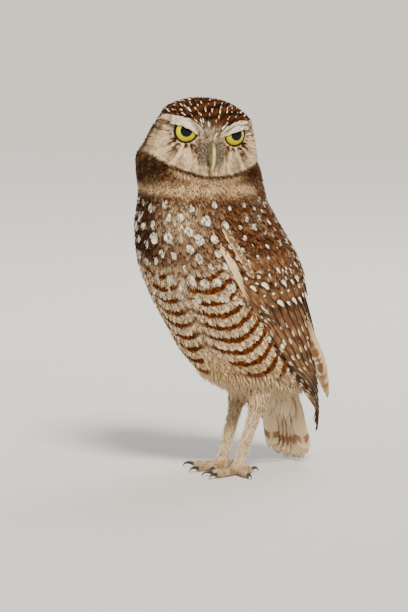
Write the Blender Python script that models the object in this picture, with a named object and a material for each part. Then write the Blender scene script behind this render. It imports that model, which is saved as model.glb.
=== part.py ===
"""A burrowing owl, life size, standing on its own feet with its head turned to its left.

Metres, +Z up. The body faces -Y, so the bird's left is +X. The floor is z = 0.
Places on the body are given by a height, an angle round the body's upright axis and a level.
The angle is 0 at the breast, a quarter turn at the bird's left side and a half turn at the back.
The level is how far outside the plumage's outline a point lies.
"""

import math
import random
from collections import namedtuple

import bmesh
import bpy
from mathutils import Vector

# Driving sizes of the standing bird
STANDING_HEIGHT = 0.2352
EYE_LEVEL = 0.2153
NECK_TOP = 0.1870
TORSO_TOP = 0.1680
TORSO_BOTTOM = 0.0460
HEAD_TURN = math.radians(56.5)
HEAD_ROLL = math.radians(5.5)
HEAD_AXIS_Y = -0.0275
CROWN = STANDING_HEIGHT - EYE_LEVEL
GAP = 0.0003

# Outline of the plumage with the wings folded: height, centre y, half width, half depth
BODY = (
    (0.010, 0.0495, 0.0260, 0.0190),
    (0.020, 0.0485, 0.0285, 0.0215),
    (0.036, 0.0440, 0.0320, 0.0270),
    (0.055, 0.0328, 0.0352, 0.0375),
    (0.074, 0.0188, 0.0412, 0.0440),
    (0.093, 0.0090, 0.0447, 0.0476),
    (0.115, -0.0024, 0.0478, 0.0510),
    (0.134, -0.0112, 0.0485, 0.0510),
    (0.156, -0.0212, 0.0442, 0.0455),
    (0.172, -0.0260, 0.0396, 0.0390),
    (0.190, -0.0275, 0.0370, 0.0315),
)
# Outline of the head: height above the eyes, half width, depth to the face, depth to the nape
HEAD = (
    (-0.0340, 0.0370, 0.0300, 0.0325),
    (-0.0184, 0.0372, 0.0300, 0.0325),
    (-0.0104, 0.0354, 0.0296, 0.0320),
    (-0.0024, 0.0329, 0.0290, 0.0310),
    (0.0036, 0.0310, 0.0282, 0.0296),
    (0.0076, 0.0290, 0.0266, 0.0276),
    (0.0116, 0.0254, 0.0238, 0.0242),
    (0.0156, 0.0184, 0.0174, 0.0174),
    (0.0184, 0.0108, 0.0102, 0.0104),
    (CROWN, 0.0, 0.0, 0.0),
)
CROWN_LEAN = -0.0026
# The folded wing's leading edge: height, angle in degrees
WING_EDGE = (
    (0.010, 132),
    (0.018, 126),
    (0.026, 110),
    (0.045, 80),
    (0.076, 64),
    (0.107, 55.6),
    (0.143, 48),
    (0.168, 42),
)

# Torso
TORSO_RINGS = 17
BELLY_ROUND = 0.020
BREAST_COLUMNS = 6
BED_COLUMNS = 9
BED_STEP = math.radians(3.5)
BED_REAR = math.radians(171)
WING_DEPTH = 0.0080
MANTLE_DROP = 0.0030
BED_CLEAR = math.radians(0.8)
BED_BLEND = math.radians(2.5)

# Feathers
VANE = 0.00052
CORE_LEVEL = -0.0046
SUNK = 0.0004
LOOSE_FEATHER = "secondary_4"
LOOSE_LIFT = 0.0035
WING_SEEDS = {"left": 4, "right": 5}
TAIL_SEED = 7
# Outline of a feather: shares of its length, and the half width there as a share of the widest
QUILL = (0.0, 0.2, 0.6, 0.88, 1.0), (0.4, 0.9, 1.0, 0.74, 0.24)
COVERT = (0.0, 0.4, 0.8, 1.0), (0.5, 1.0, 0.88, 0.36)
TAIL_QUILL = (0.0, 0.25, 0.65, 0.9, 1.0), (0.55, 0.85, 1.0, 0.92, 0.45)

# Tiers of the folded left wing. Each pair is for a tier's front feather and its rear one, with
# angles in degrees. sag is how far below those two the tip of its middle feather hangs, tilt is
# how far a feather's front edge stands above its shaft, and bow bends it to the rear.
Tier = namedtuple(
    "Tier",
    "name count outline half_width root_height root_angle tip_height tip_angle"
    " root_level tip_level tilt sag bow columns",
    defaults=(0.0, 1.2, 2),
)
WING_TIERS = (
    Tier("primary", 7, QUILL, 0.0038, (0.112, 0.122), (63, 82), (0.041, 0.034), (96, 150),
         (-0.0060, -0.0046), (-0.0034, -0.0041), 0.0013, sag=0.0184, bow=1.5),
    Tier("secondary", 8, QUILL, 0.0068, (0.122, 0.128), (64, 150), (0.046, 0.060), (101, 163),
         (-0.0031, -0.0031), (-0.0012, -0.0012), 0.0009, sag=0.004, bow=1.3, columns=3),
    Tier("primary_covert", 3, COVERT, 0.0030, (0.126, 0.124), (56, 62), (0.092, 0.096), (63, 70),
         (-0.0024, -0.0024), (-0.0020, -0.0020), 0.0007),
    Tier("greater_covert", 8, COVERT, 0.0062, (0.129, 0.136), (63, 154), (0.104, 0.109), (75, 160),
         (-0.0026, -0.0026), (-0.0006, -0.0006), 0.00064),
    Tier("alula", 3, COVERT, 0.0030, (0.139, 0.137), (53, 58), (0.096, 0.104), (60, 69),
         (-0.0006, -0.0006), (-0.0001, -0.0001), 0.0006),
    Tier("median_covert", 5, COVERT, 0.0062, (0.143, 0.147), (60, 104), (0.122, 0.127), (68, 112),
         (-0.0006, -0.0006), (-0.0001, -0.0001), 0.00054),
    Tier("scapular", 6, QUILL, 0.0066, (0.152, 0.158), (102, 162), (0.120, 0.112), (113, 163),
         (-0.0003, -0.0003), (0.0003, 0.0003), 0.00055),
)

# Neck
NECK_RINGS = 4
NECK_COLUMNS = 36

# Eyes, on the head's own axes: right, forward, up from eye level
EYE_RADIUS = 0.0079
EYE_CENTRE = Vector((0.0144, 0.0196, 0.0))
EYE_SPLAY = math.radians(12)
LID_RADIUS = 0.0067
LID_THICK = 0.0009

# Relief of the face: how far each form stands out of the head's oval
BROW_RISE = 0.0034
EYE_HOLLOW = -0.0042
DISC_RIM = 0.0013
LORES = 0.0028
CHEEK = 0.0012
CHIN = -0.0020

# Legs: where each joint is, for a leg on the bird's left before its own stride is added
ANKLE = Vector((0.014, 0.0165, 0.0425))
SOLE = Vector((0.012, -0.0005, 0.0050))
STRIDE = {"left": -0.0062, "right": 0.0063}
ANKLE_BEND = Vector((0, -0.25, -1)).normalized()
# The thigh: a place relative to the ankle, and the radius there
THIGH = (
    ((-0.001, 0.006, 0.034), 0.0105),
    ((-0.001, 0.005, 0.022), 0.0112),
    ((0.0, 0.003, 0.013), 0.0102),
    ((0.0, 0.001, 0.006), 0.0074),
    ((0.0, 0.0, 0.0), 0.0046),
)
# The shank: a share of the way from the ankle to the sole, and the radius there
SHANK = ((0.0, 0.0041), (0.12, 0.0039), (0.35, 0.0034), (0.7, 0.0030), (0.93, 0.0033))
# The sole: height, radius. Its last ring is under the shank.
SOLE_RINGS = ((0.0, 0.0036), (0.0016, 0.0046), (0.0042, 0.0045), (None, 0.0036))
TOE_START = 0.002
TOE_RADIUS = 0.0023
# The toe's pads: a share of its length, and the radius there as a share of the toe's
TOE_PADS = ((0.0, 1.08), (0.28, 0.98), (0.42, 1.10), (0.60, 0.90), (0.76, 1.02), (0.90, 0.88), (1.0, 0.72))
# Each toe: name, heading in degrees outwards from straight ahead, length, reach of its claw
TOES = (
    ("inner", -24, 0.0150, 0.0078),
    ("middle", 4, 0.0190, 0.0078),
    ("outer", 62, 0.0160, 0.0078),
    ("hind", 172, 0.0090, 0.0066),
)
CLAW_RADIUS = 0.0011
CLAW_POINT = 0.00018
CLAW_ARCH = 0.0012

# Tail
TAIL_ROOT = Vector((0.0, 0.0470, 0.0620))
TAIL_TIP = Vector((0.0, 0.0612, 0.0032))
TAIL_PAIRS = 6
TAIL_STEP = 0.00085
TAIL_MIDLINE = 0.0003
TAIL_HALF_WIDTH = 0.0065
TAIL_COVERTS = 5
# The tail's fleshy base: centre along the tail, half length, half width, half height, level
TAIL_BASE = (0.006, 0.0125, 0.0140, 0.0060, -0.0016)


def ease(share):
    share = min(max(share, 0.0), 1.0)
    return share * share * (3 - 2 * share)


def ramp(value, start, end):
    """0 at start, 1 at end and an eased step between them."""
    return ease((value - start) / (end - start))


def mix(low, high, share):
    return low + (high - low) * share


def between(rows, key):
    """The other columns of rows at key, on a smooth curve through them. The first column rises."""
    key = min(max(key, rows[0][0]), rows[-1][0])
    index = next(i for i in range(len(rows) - 1) if key <= rows[i + 1][0])
    low, high = rows[index], rows[index + 1]
    before, after = rows[max(index - 1, 0)], rows[min(index + 2, len(rows) - 1)]
    span = high[0] - low[0]
    t = (key - low[0]) / span
    found = []
    for k in range(1, len(low)):
        leaving = (high[k] - before[k]) / (high[0] - before[0]) * span
        arriving = (after[k] - low[k]) / (after[0] - low[0]) * span
        found.append(
            low[k] * (2 * t**3 - 3 * t**2 + 1)
            + leaving * (t**3 - 2 * t**2 + t)
            + high[k] * (3 * t**2 - 2 * t**3)
            + arriving * (t**3 - t**2)
        )
    return found


def outline_radius(height, angle):
    """From the body's axis to the plumage's outline. The neck's oval turns with the head."""
    _, wide, deep = between(BODY, height)
    angle -= HEAD_TURN * ramp(height, 0.160, NECK_TOP)
    return 1 / math.hypot(math.sin(angle) / wide, math.cos(angle) / deep)


def on_body(height, angle, level=0.0):
    centre_y = between(BODY, height)[0]
    radius = outline_radius(height, angle) + level
    return Vector((radius * math.sin(angle), centre_y - radius * math.cos(angle), height))


def edge_angle(height):
    return math.radians(between(WING_EDGE, height)[0])


def solid(name, points, faces):
    """A mesh object of that closed shape, with its faces pointing out."""
    mesh = bpy.data.meshes.new(name)
    mesh.from_pydata([tuple(p) for p in points], [], faces)
    shape = bmesh.new()
    shape.from_mesh(mesh)
    bmesh.ops.recalc_face_normals(shape, faces=shape.faces)
    shape.to_mesh(mesh)
    shape.free()
    made = bpy.data.objects.new(name, mesh)
    bpy.context.scene.collection.objects.link(made)
    return made


def loft(name, rings, apex=None):
    """A closed solid through rings of equally many points. apex closes its last end with a point."""
    count = len(rings[0])
    points = [p for ring in rings for p in ring]
    faces = [tuple(range(count))]
    for i in range(len(rings) - 1):
        for j in range(count):
            k = (j + 1) % count
            faces.append((i * count + j, i * count + k, (i + 1) * count + k, (i + 1) * count + j))
    last = (len(rings) - 1) * count
    if apex is None:
        faces.append(tuple(range(last, last + count)))
    else:
        points.append(apex)
        faces += [(last + j, last + (j + 1) % count, len(points) - 1) for j in range(count)]
    return solid(name, points, faces)


def tube(name, path, radii, sides, first_normal=None, last_normal=None, floor=None):
    """A solid of round sections along a path. floor lifts any lower point to that height."""
    rings = []
    for i, centre in enumerate(path):
        along = path[min(i + 1, len(path) - 1)] - path[max(i - 1, 0)]
        if i == 0 and first_normal:
            along = first_normal
        if i == len(path) - 1 and last_normal:
            along = last_normal
        along = along.normalized()
        across = along.cross(Vector((0.31, 0.17, 0.93))).normalized()
        other = along.cross(across)
        ring = []
        for j in range(sides):
            turn = math.tau * (j + 0.5) / sides
            point = centre + radii[i] * (math.cos(turn) * across + math.sin(turn) * other)
            if floor is not None:
                point.z = max(point.z, floor)
            ring.append(point)
        rings.append(ring)
    return loft(name, rings)


def evaluated(obj):
    """The object's mesh with its modifiers carried out, put in place of its own."""
    graph = bpy.context.evaluated_depsgraph_get()
    mesh = bpy.data.meshes.new_from_object(obj.evaluated_get(graph))
    obj.modifiers.clear()
    obj.data = mesh
    keep_largest(obj)


def keep_largest(obj):
    """Leaves only the largest closed surface, which drops scraps and sealed hollows."""
    shape = bmesh.new()
    shape.from_mesh(obj.data)
    bmesh.ops.triangulate(shape, faces=shape.faces)
    unseen = set(shape.faces)
    parts = []
    while unseen:
        part, todo = set(), [unseen.pop()]
        while todo:
            face = todo.pop()
            part.add(face)
            near = {f for edge in face.edges for f in edge.link_faces} & unseen
            unseen -= near
            todo.extend(near)
        parts.append(part)
    if len(parts) > 1:
        best = max(parts, key=lambda part: sum(face.calc_area() for face in part))
        bmesh.ops.delete(shape, geom=[f for f in shape.faces if f not in best], context="FACES")
    shape.to_mesh(obj.data)
    shape.free()


def combine(obj, others, operation, solver="EXACT"):
    """Joins the others to obj or cuts them from it, then removes them."""
    group = bpy.data.collections.new(obj.name + "_pieces")
    bpy.context.scene.collection.children.link(group)
    for other in others:
        group.objects.link(other)
    change = obj.modifiers.new(operation.lower(), "BOOLEAN")
    change.operation = operation
    change.operand_type = "COLLECTION"
    change.collection = group
    change.solver = solver
    bpy.context.view_layer.update()
    evaluated(obj)
    for other in others:
        bpy.data.objects.remove(other)
    bpy.data.collections.remove(group)


def paint(obj, colour, roughness):
    material = bpy.data.materials.get(obj.name) or bpy.data.materials.new(obj.name)
    material.use_nodes = True
    shader = material.node_tree.nodes["Principled BSDF"]
    shader.inputs["Base Color"].default_value = (*colour, 1)
    shader.inputs["Roughness"].default_value = roughness
    obj.data.materials.clear()
    obj.data.materials.append(material)
    return obj


def bed_depth(height):
    """How far the torso draws in under the wing."""
    return WING_DEPTH * ramp(height, 0.167, 0.150)


def torso_levels():
    """Heights of the torso's rings, closer together at the round belly."""
    rise = TORSO_TOP - TORSO_BOTTOM
    levels = [TORSO_BOTTOM + rise * (k / TORSO_RINGS) ** 1.5 for k in range(TORSO_RINGS + 1)]
    return levels[1:]


def bed_angles(height):
    """Angles of the columns in the hollow that holds the left wing, from front to back."""
    front = edge_angle(height) + BED_STEP
    rear = BED_REAR - BED_STEP
    return [mix(front, rear, k / (BED_COLUMNS - 1)) for k in range(BED_COLUMNS)]


def torso_ring(height, grow):
    """One ring of the torso: breast, the hollow for each wing, and the mantle between the wings."""
    edge = edge_angle(height)
    depth = bed_depth(height)
    mantle = min(depth, MANTLE_DROP) * (1 - ramp(height, 0.085, 0.105))
    half = [(edge * k / BREAST_COLUMNS, 0.0) for k in range(BREAST_COLUMNS + 1)]
    half += [(angle, depth) for angle in bed_angles(height)]
    half += [(BED_REAR, mantle), (math.pi, mantle)]
    inside = (TORSO_BOTTOM + BELLY_ROUND - height) / BELLY_ROUND
    closing = (1 - max(inside, 0.0) ** 2.4) ** (1 / 2.4)
    centre = Vector((0.0, between(BODY, height)[0], height))
    ring = []
    for side in (1, -1):
        columns = half if side > 0 else half[-2:0:-1]
        for angle, inset in columns:
            point = on_body(height, angle, -inset) - centre
            point *= closing
            point += grow * Vector((math.sin(angle), -math.cos(angle), 0))
            ring.append(centre + Vector((side * point.x, point.y, 0)))
    return ring


def torso(name="torso", grow=0.0):
    """The trunk under its plumage. grow makes the swollen copy that clears a gap round it."""
    rings = [torso_ring(height, grow) for height in torso_levels()]
    if grow:
        for point in rings[0]:
            point.z -= grow
        for point in rings[-1]:
            point.z += grow
    return loft(name, rings)


def neck():
    rings = []
    for k in range(NECK_RINGS):
        height = mix(TORSO_TOP + GAP, NECK_TOP, k / (NECK_RINGS - 1))
        rings.append([on_body(height, math.tau * j / NECK_COLUMNS) for j in range(NECK_COLUMNS)])
    return loft("neck", rings)


def head_axes():
    """The head's right, forward and up, as directions in the bird's frame."""
    forward = Vector((math.sin(HEAD_TURN), -math.cos(HEAD_TURN), 0))
    right = Vector((-math.cos(HEAD_TURN), -math.sin(HEAD_TURN), 0))
    up = Vector((0, 0, 1))
    rolled_right = right * math.cos(HEAD_ROLL) + up * math.sin(HEAD_ROLL)
    rolled_up = up * math.cos(HEAD_ROLL) - right * math.sin(HEAD_ROLL)
    return rolled_right, forward, rolled_up


def from_head(point):
    """A place on the head's own axes, in the bird's frame."""
    right, forward, up = head_axes()
    centre = Vector((0.0, HEAD_AXIS_Y, EYE_LEVEL))
    return centre + right * point[0] + forward * point[1] + up * point[2]


def bump(distance, width):
    return math.exp(-((distance / width) ** 2))


def brow_height(side):
    """Height of the brow's crest at a distance from the middle of the face."""
    return 0.0076 - 0.0095 * math.exp(-(side - 0.005) / 0.006)


def face_relief(x, z):
    """How far the face stands out of the head's plain oval: brows, eye hollows, discs and lores."""
    side = abs(x)
    above = z - brow_height(side)
    brow = BROW_RISE * bump(above, 0.0042 if above > 0 else 0.0022)
    brow *= ramp(side, 0.002, 0.011) * ramp(side, 0.030, 0.022)
    from_eye = math.hypot(side - 0.0155, z)
    hollow = EYE_HOLLOW * bump(from_eye, 0.0085) * ramp(above, 0.0020, -0.0020)
    from_disc = math.hypot(side - 0.0145, z + 0.006)
    rim = DISC_RIM * bump(from_disc - 0.0185, 0.0022) * ramp(z, 0.004, -0.004)
    lores = LORES * bump(side, 0.0048) * bump(z + 0.008, 0.009)
    cheek = CHEEK * bump(math.hypot(side - 0.008, z + 0.015), 0.005)
    chin = CHIN * bump(side, 0.008) * bump(z + 0.0265, 0.004)
    return brow + hollow + rim + lores + cheek + chin


def head_point(turn, height, grow=0.0):
    """A place on the head's surface. turn is measured from the face, rising to the head's right."""
    wide, front, back = between(HEAD, height)
    deep = front if math.cos(turn) > 0 else back
    sine, cosine = math.sin(turn), math.cos(turn)
    x = (wide + grow) * math.copysign(abs(sine) ** 0.88, sine)
    y = (deep + grow) * math.copysign(abs(cosine) ** 0.88, cosine)
    y += face_relief(x, height) * ramp(cosine, 0.15, 0.5)
    return Vector((x + CROWN_LEAN * ramp(height, -0.016, CROWN), y, height))


def head_turns():
    """Angles round the head, close together across the face and wide apart behind it."""
    face, behind, limit = 30, 8, math.radians(80)
    turns = [mix(-limit, limit, k / face) for k in range(face)]
    return turns + [mix(limit, math.tau - limit, k / behind) for k in range(behind)]


def head_heights():
    """Heights of the head's rings, even over the face and closing in on the crown."""
    rows = [mix(-0.0335, 0.0092, k / 23) for k in range(24)]
    start = math.asin(0.0110 / CROWN)
    return rows + [CROWN * math.sin(mix(start, math.radians(84), k / 4)) for k in range(5)]


def head_shape(name, grow=0.0):
    rings = []
    for height in head_heights():
        rings.append([from_head(head_point(turn, height, grow)) for turn in head_turns()])
    return loft(name, rings, apex=from_head(Vector((CROWN_LEAN, 0, CROWN + grow))))


def cut_flat(obj, height):
    """Cuts off what is below a height and closes the cut with a flat face."""
    shape = bmesh.new()
    shape.from_mesh(obj.data)
    every = shape.verts[:] + shape.edges[:] + shape.faces[:]
    cut = bmesh.ops.bisect_plane(
        shape, geom=every, plane_co=(0, 0, height), plane_no=(0, 0, -1), clear_outer=True
    )
    rim = [e for e in cut["geom_cut"] if isinstance(e, bmesh.types.BMEdge)]
    bmesh.ops.edgeloop_fill(shape, edges=rim)
    bmesh.ops.recalc_face_normals(shape, faces=shape.faces)
    shape.to_mesh(obj.data)
    shape.free()


def eye_axis(side):
    return Vector((side * math.sin(EYE_SPLAY), math.cos(EYE_SPLAY), 0))


def eye_centre(side):
    return Vector((side * EYE_CENTRE.x, EYE_CENTRE.y, EYE_CENTRE.z))


def ball(name, centre, radius):
    shape = bmesh.new()
    bmesh.ops.create_icosphere(shape, subdivisions=3, radius=radius)
    points = [from_head(centre + v.co) for v in shape.verts]
    faces = [tuple(v.index for v in face.verts) for face in shape.faces]
    shape.free()
    return solid(name, points, faces)


def lid(side):
    """The dark rim of lid round one eye."""
    axis = eye_axis(side)
    centre = eye_centre(side) + axis * math.sqrt(EYE_RADIUS**2 - LID_RADIUS**2)
    across = axis.cross(Vector((0, 0, 1))).normalized()
    up = across.cross(axis)
    points, faces = [], []
    major, minor = 22, 6
    for i in range(major):
        turn = math.tau * i / major
        out = math.cos(turn) * across + math.sin(turn) * up
        for j in range(minor):
            lean = math.tau * j / minor
            reach = LID_RADIUS + LID_THICK * math.cos(lean)
            points.append(from_head(centre + out * reach + axis * LID_THICK * math.sin(lean)))
            near, far = (i + 1) % major * minor, (j + 1) % minor
            faces.append((i * minor + j, near + j, near + far, i * minor + far))
    return solid(f"lid{side}", points, faces)


def head():
    """The head with its lids, cut to sit on the neck and hollowed for the eyes."""
    skull = head_shape("head")
    cut_flat(skull, NECK_TOP + GAP)
    combine(skull, [lid(1), lid(-1)], "UNION")
    sockets = [ball(f"socket{side}", eye_centre(side), EYE_RADIUS + GAP * 1.5) for side in (1, -1)]
    combine(skull, sockets, "DIFFERENCE")
    return skull


def bill_piece(name, rows, grow=0.0):
    """One half of the bill. Each row is forward, up, half width and half height on the head's axes."""
    rings = []
    for i, (y, z, wide, high) in enumerate(rows):
        after, before = rows[min(i + 1, len(rows) - 1)], rows[max(i - 1, 0)]
        along = Vector((0, after[0] - before[0], after[1] - before[1])).normalized()
        out = Vector((0, -along.z, along.y))
        ring = []
        for j in range(12):
            turn = math.tau * j / 12
            x = (wide + grow) * math.sin(turn)
            ring.append(from_head(Vector((x, y, z)) + out * (high + grow) * math.cos(turn)))
        rings.append(ring)
    return loft(name, rings)


UPPER_BILL = (
    (0.0240, -0.0078, 0.0044, 0.0040),
    (0.0300, -0.0082, 0.0043, 0.0040),
    (0.0336, -0.0104, 0.0040, 0.0036),
    (0.0356, -0.0138, 0.0034, 0.0032),
    (0.0362, -0.0175, 0.0025, 0.0026),
    (0.0359, -0.0206, 0.0015, 0.0016),
    (0.0352, -0.0232, 0.0005, 0.0005),
)
LOWER_BILL = (
    (0.0240, -0.0158, 0.0034, 0.0022),
    (0.0288, -0.0174, 0.0032, 0.0020),
    (0.0318, -0.0196, 0.0022, 0.0014),
    (0.0330, -0.0212, 0.0010, 0.0007),
)


def bill():
    """Both halves of the bill, set on the face, with the mouth's line between them and nostrils."""
    upper = bill_piece("bill_upper", UPPER_BILL)
    combine(upper, [head_shape("face_gap", GAP * 1.4)], "DIFFERENCE")
    lower = bill_piece("bill_lower", LOWER_BILL)
    combine(lower, [head_shape("chin_gap", GAP * 1.4)], "DIFFERENCE")
    combine(lower, [bill_piece("mouth_gap", UPPER_BILL, GAP * 1.2)], "DIFFERENCE")
    nostrils = []
    for side in (1, -1):
        start = from_head(Vector((side * 0.0052, 0.0380, -0.0082)))
        end = from_head(Vector((side * 0.0022, 0.0350, -0.0096)))
        nostrils.append(tube(f"nostril{side}", [start, end], [0.0006, 0.0006], 8))
    combine(upper, nostrils, "DIFFERENCE")
    return upper, lower


def stride(point, side):
    """A leg's point, given for the left leg, moved to its own side and by its own stride."""
    lateral = point.x if side == "left" else -point.x
    return Vector((lateral, point.y + STRIDE[side], point.z))


def leg(side):
    """One leg from the belly to the sole: the feathered thigh and the bristly shank."""
    thigh = tube(
        f"thigh_{side}",
        [stride(ANKLE + Vector(place), side) for place, _ in THIGH],
        [radius for _, radius in THIGH],
        14,
        last_normal=ANKLE_BEND,
    )
    combine(thigh, [torso("belly_gap", GAP * 1.5)], "DIFFERENCE")
    path = [stride(ANKLE.lerp(SOLE, share), side) for share, _ in SHANK]
    path[0] += ANKLE_BEND * GAP
    shank = tube(
        f"shank_{side}",
        path,
        [radius for _, radius in SHANK],
        10,
        first_normal=ANKLE_BEND,
        last_normal=Vector((0, 0, -1)),
    )
    return thigh, shank


def toe_direction(side, heading):
    turn = math.radians(heading)
    outwards = 1 if side == "left" else -1
    return Vector((outwards * math.sin(turn), -math.cos(turn), 0))


def foot(side):
    """The sole and its four toes, with flat pads on the floor."""
    under_shank = stride(ANKLE.lerp(SOLE, SHANK[-1][0]), side)
    under_shank.z -= GAP
    sole = stride(SOLE, side)
    sole.z = 0.0
    rings = []
    for height, reach in SOLE_RINGS:
        height = under_shank.z if height is None else height
        middle = sole.lerp(under_shank, ramp(height, 0.0, under_shank.z))
        ring = []
        for j in range(12):
            turn = math.tau * j / 12
            x, y = middle.x + reach * math.cos(turn), middle.y + reach * math.sin(turn)
            ring.append(Vector((x, y, height)))
        rings.append(ring)
    hub = loft(f"foot_{side}", rings)
    toes = []
    for name, heading, length, _ in TOES:
        forward = toe_direction(side, heading)
        path, radii = [], []
        for share, swell in TOE_PADS:
            height = Vector((0, 0, mix(0.0026, 0.0020, share)))
            path.append(sole + forward * (TOE_START + length * share) + height)
            radii.append(TOE_RADIUS * swell)
        toes.append(tube(f"toe_{name}", path, radii, 10, floor=0.0))
    combine(hub, toes, "UNION")
    return hub


def claws(side):
    """A curved claw ahead of each toe, arching up and back down to the floor."""
    made = []
    for name, heading, length, reach in TOES:
        forward = toe_direction(side, heading)
        base = stride(Vector((SOLE.x, SOLE.y, 0)), side) + forward * (TOE_START + length + GAP)
        path, radii = [], []
        for k in range(6):
            share = k / 5
            height = 0.0021 + CLAW_ARCH * math.sin(math.pi * share) - 0.0015 * share**2
            path.append(base + forward * reach * math.sin(share * 1.35) + Vector((0, 0, height)))
            radii.append(mix(CLAW_RADIUS, CLAW_POINT, share**1.2))
        made.append(tube(f"claw_{side}_{name}", path, radii, 8, first_normal=forward))
    return made


def across(surface, spine, index):
    """How a place's two numbers change for each metre across a feather, at a point of its spine."""
    first, second = spine[index]
    after, before = spine[min(index + 1, len(spine) - 1)], spine[max(index - 1, 0)]
    step = 5e-4
    here = surface(first, second, 0.0)
    by_first = (surface(first + step, second, 0.0) - here) / step
    by_second = (surface(first, second + step, 0.0) - here) / step
    along = by_first * (after[0] - before[0]) + by_second * (after[1] - before[1])
    wide = along.cross(by_first.cross(by_second)).normalized()
    ff, fs, ss = by_first.dot(by_first), by_first.dot(by_second), by_second.dot(by_second)
    wf, ws = wide.dot(by_first), wide.dot(by_second)
    area = ff * ss - fs * fs
    change = ((ss * wf - fs * ws) / area, (ff * ws - fs * wf) / area)
    return change if change[1] > 0 else (-change[0], -change[1])


def vane(name, surface, limit, spine, half_widths, levels, tilt, columns=3):
    """One feather as a thin closed blade that follows a surface, with its edges kept to a limit.

    Its front edge stands tilt above its shaft and its rear edge as far below.
    """
    points, faces = [], []
    for i, (first, second) in enumerate(spine):
        change = across(surface, spine, i)
        offsets = [mix(-1, 1, k / (columns - 1)) for k in range(columns)]
        for face_level in (VANE / 2, -VANE / 2):
            for offset in offsets:
                reach = offset * half_widths[i]
                level = levels[i] - offset * tilt + face_level
                edge = first + change[0] * reach
                points.append(surface(edge, limit(edge, second + change[1] * reach, level), level))
    count = 2 * columns
    for i in range(len(spine) - 1):
        here, there = i * count, (i + 1) * count
        for k in range(columns - 1):
            for side in (0, columns):
                a, b = here + side + k, here + side + k + 1
                c, d = there + side + k, there + side + k + 1
                faces += [(a, b, d), (a, d, c)]
        for k in (0, columns - 1):
            faces.append((here + k, there + k, there + columns + k, here + columns + k))
    for start in (0, (len(spine) - 1) * count):
        front = list(range(start, start + columns))
        faces.append(tuple(front + list(range(start + count - 1, start + columns - 1, -1))))
    return solid(name, points, faces)


def softly_above(value, floor, blend):
    """The value, eased towards the floor as it nears it so that it never passes it."""
    rise = value - floor - blend
    return value if rise > 0 else floor + blend * math.exp(rise / blend)


def within_bed(spare):
    """Keeps an angle clear of the walls of the hollow that the left wing lies in, by spare more."""

    def limit(height, angle, level):
        lean = max(BED_STEP * (-level / WING_DEPTH), 0.0) + BED_CLEAR + spare
        angle = softly_above(angle, edge_angle(height) + lean, BED_BLEND)
        return -softly_above(-angle, lean - BED_REAR, BED_BLEND)

    return limit


def core_level(height):
    """The outside of the wing's arm and hand, which the feathers are rooted in."""
    return mix(-0.0004, CORE_LEVEL, ramp(height, 0.154, 0.118))


def wing_core():
    """The wing's arm and hand, a shell in the hollow of the torso."""
    outer, inner = [], []
    for height in [h for h in torso_levels() if 0.100 < h < 0.164]:
        angles = bed_angles(height)
        angles[0] += BED_CLEAR
        angles[-1] -= BED_CLEAR
        depth = bed_depth(height) - GAP * 1.2
        outer.append([on_body(height, angle, core_level(height)) for angle in angles])
        inner.append([on_body(height, angle, -depth) for angle in reversed(angles)])
    return loft("wing_core", [a + b for a, b in zip(outer, inner)])


def wing_feather(tier, k, draw, lift=0.0):
    """Feather k of a tier, counted from the front. lift raises its tip out of its row."""
    share = k / (tier.count - 1)
    slip, turn = draw.uniform(-0.0010, 0.0010), math.radians(draw.uniform(-0.7, 0.7))
    hang = tier.sag * 4 * share * (1 - share)
    root = mix(*tier.root_height, share), math.radians(mix(*tier.root_angle, share))
    tip = mix(*tier.tip_height, share) - hang + slip, math.radians(mix(*tier.tip_angle, share)) + turn
    ends = mix(*tier.root_level, share), mix(*tier.tip_level, share) + lift
    buried = core_level(root[0]) - SUNK
    spine, levels = [], []
    for along in tier.outline[0]:
        spine.append((mix(root[0], tip[0], along), mix(root[1], tip[1], along**tier.bow)))
        levels.append(mix(buried, mix(*ends, along), ramp(along, 0, 0.2)))
    wide = tier.half_width * draw.uniform(0.96, 1.04)
    widths = [wide * w for w in tier.outline[1]]
    limit = within_bed(math.radians(draw.uniform(0, 1.2)))
    return vane(f"{tier.name}_{k}", on_body, limit, spine, widths, levels, tier.tilt, tier.columns)


def wing_feathers(side):
    """All the flight feathers and coverts of a folded wing, tier by tier from the hand up."""
    draw = random.Random(WING_SEEDS[side])
    made = []
    for tier in WING_TIERS:
        for k in range(tier.count):
            loose = side == "left" and f"{tier.name}_{k}" == LOOSE_FEATHER
            made.append(wing_feather(tier, k, draw, LOOSE_LIFT if loose else 0.0))
    return made


def wing(side):
    """A folded wing: its core with every feather's root sunk in it."""
    core = wing_core()
    core.name = f"wing_{side}"
    combine(core, wing_feathers(side), "UNION", "MANIFOLD")
    if side == "right":
        for vertex in core.data.vertices:
            vertex.co.x *= -1
        core.data.flip_normals()
    return core


def on_tail(along, lateral, level):
    """A place on the tail: how far from its root, how far to the left and how far above."""
    line = (TAIL_TIP - TAIL_ROOT).normalized()
    above = Vector((0, -line.z, line.y))
    return TAIL_ROOT + line * along + Vector((lateral, 0, 0)) + above * level


def own_side(side):
    """Keeps a tail feather to its own side of the midline."""
    return lambda along, lateral, level: side * max(lateral * side, TAIL_MIDLINE)


def anywhere(along, lateral, level):
    return lateral


def tail_feather(name, root, tip, outline, half_width, level, draw, limit=anywhere):
    """A tail feather from root to tip, each a length along the tail and a lateral place."""
    shares, widths = outline
    slip = draw.uniform(-0.0006, 0.0006)
    spine = [(mix(root[0], tip[0] + slip, share), mix(root[1], tip[1], share)) for share in shares]
    widths = [half_width * w for w in widths]
    return vane(name, on_tail, limit, spine, widths, [level] * len(shares), 0.0, columns=2)


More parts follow.
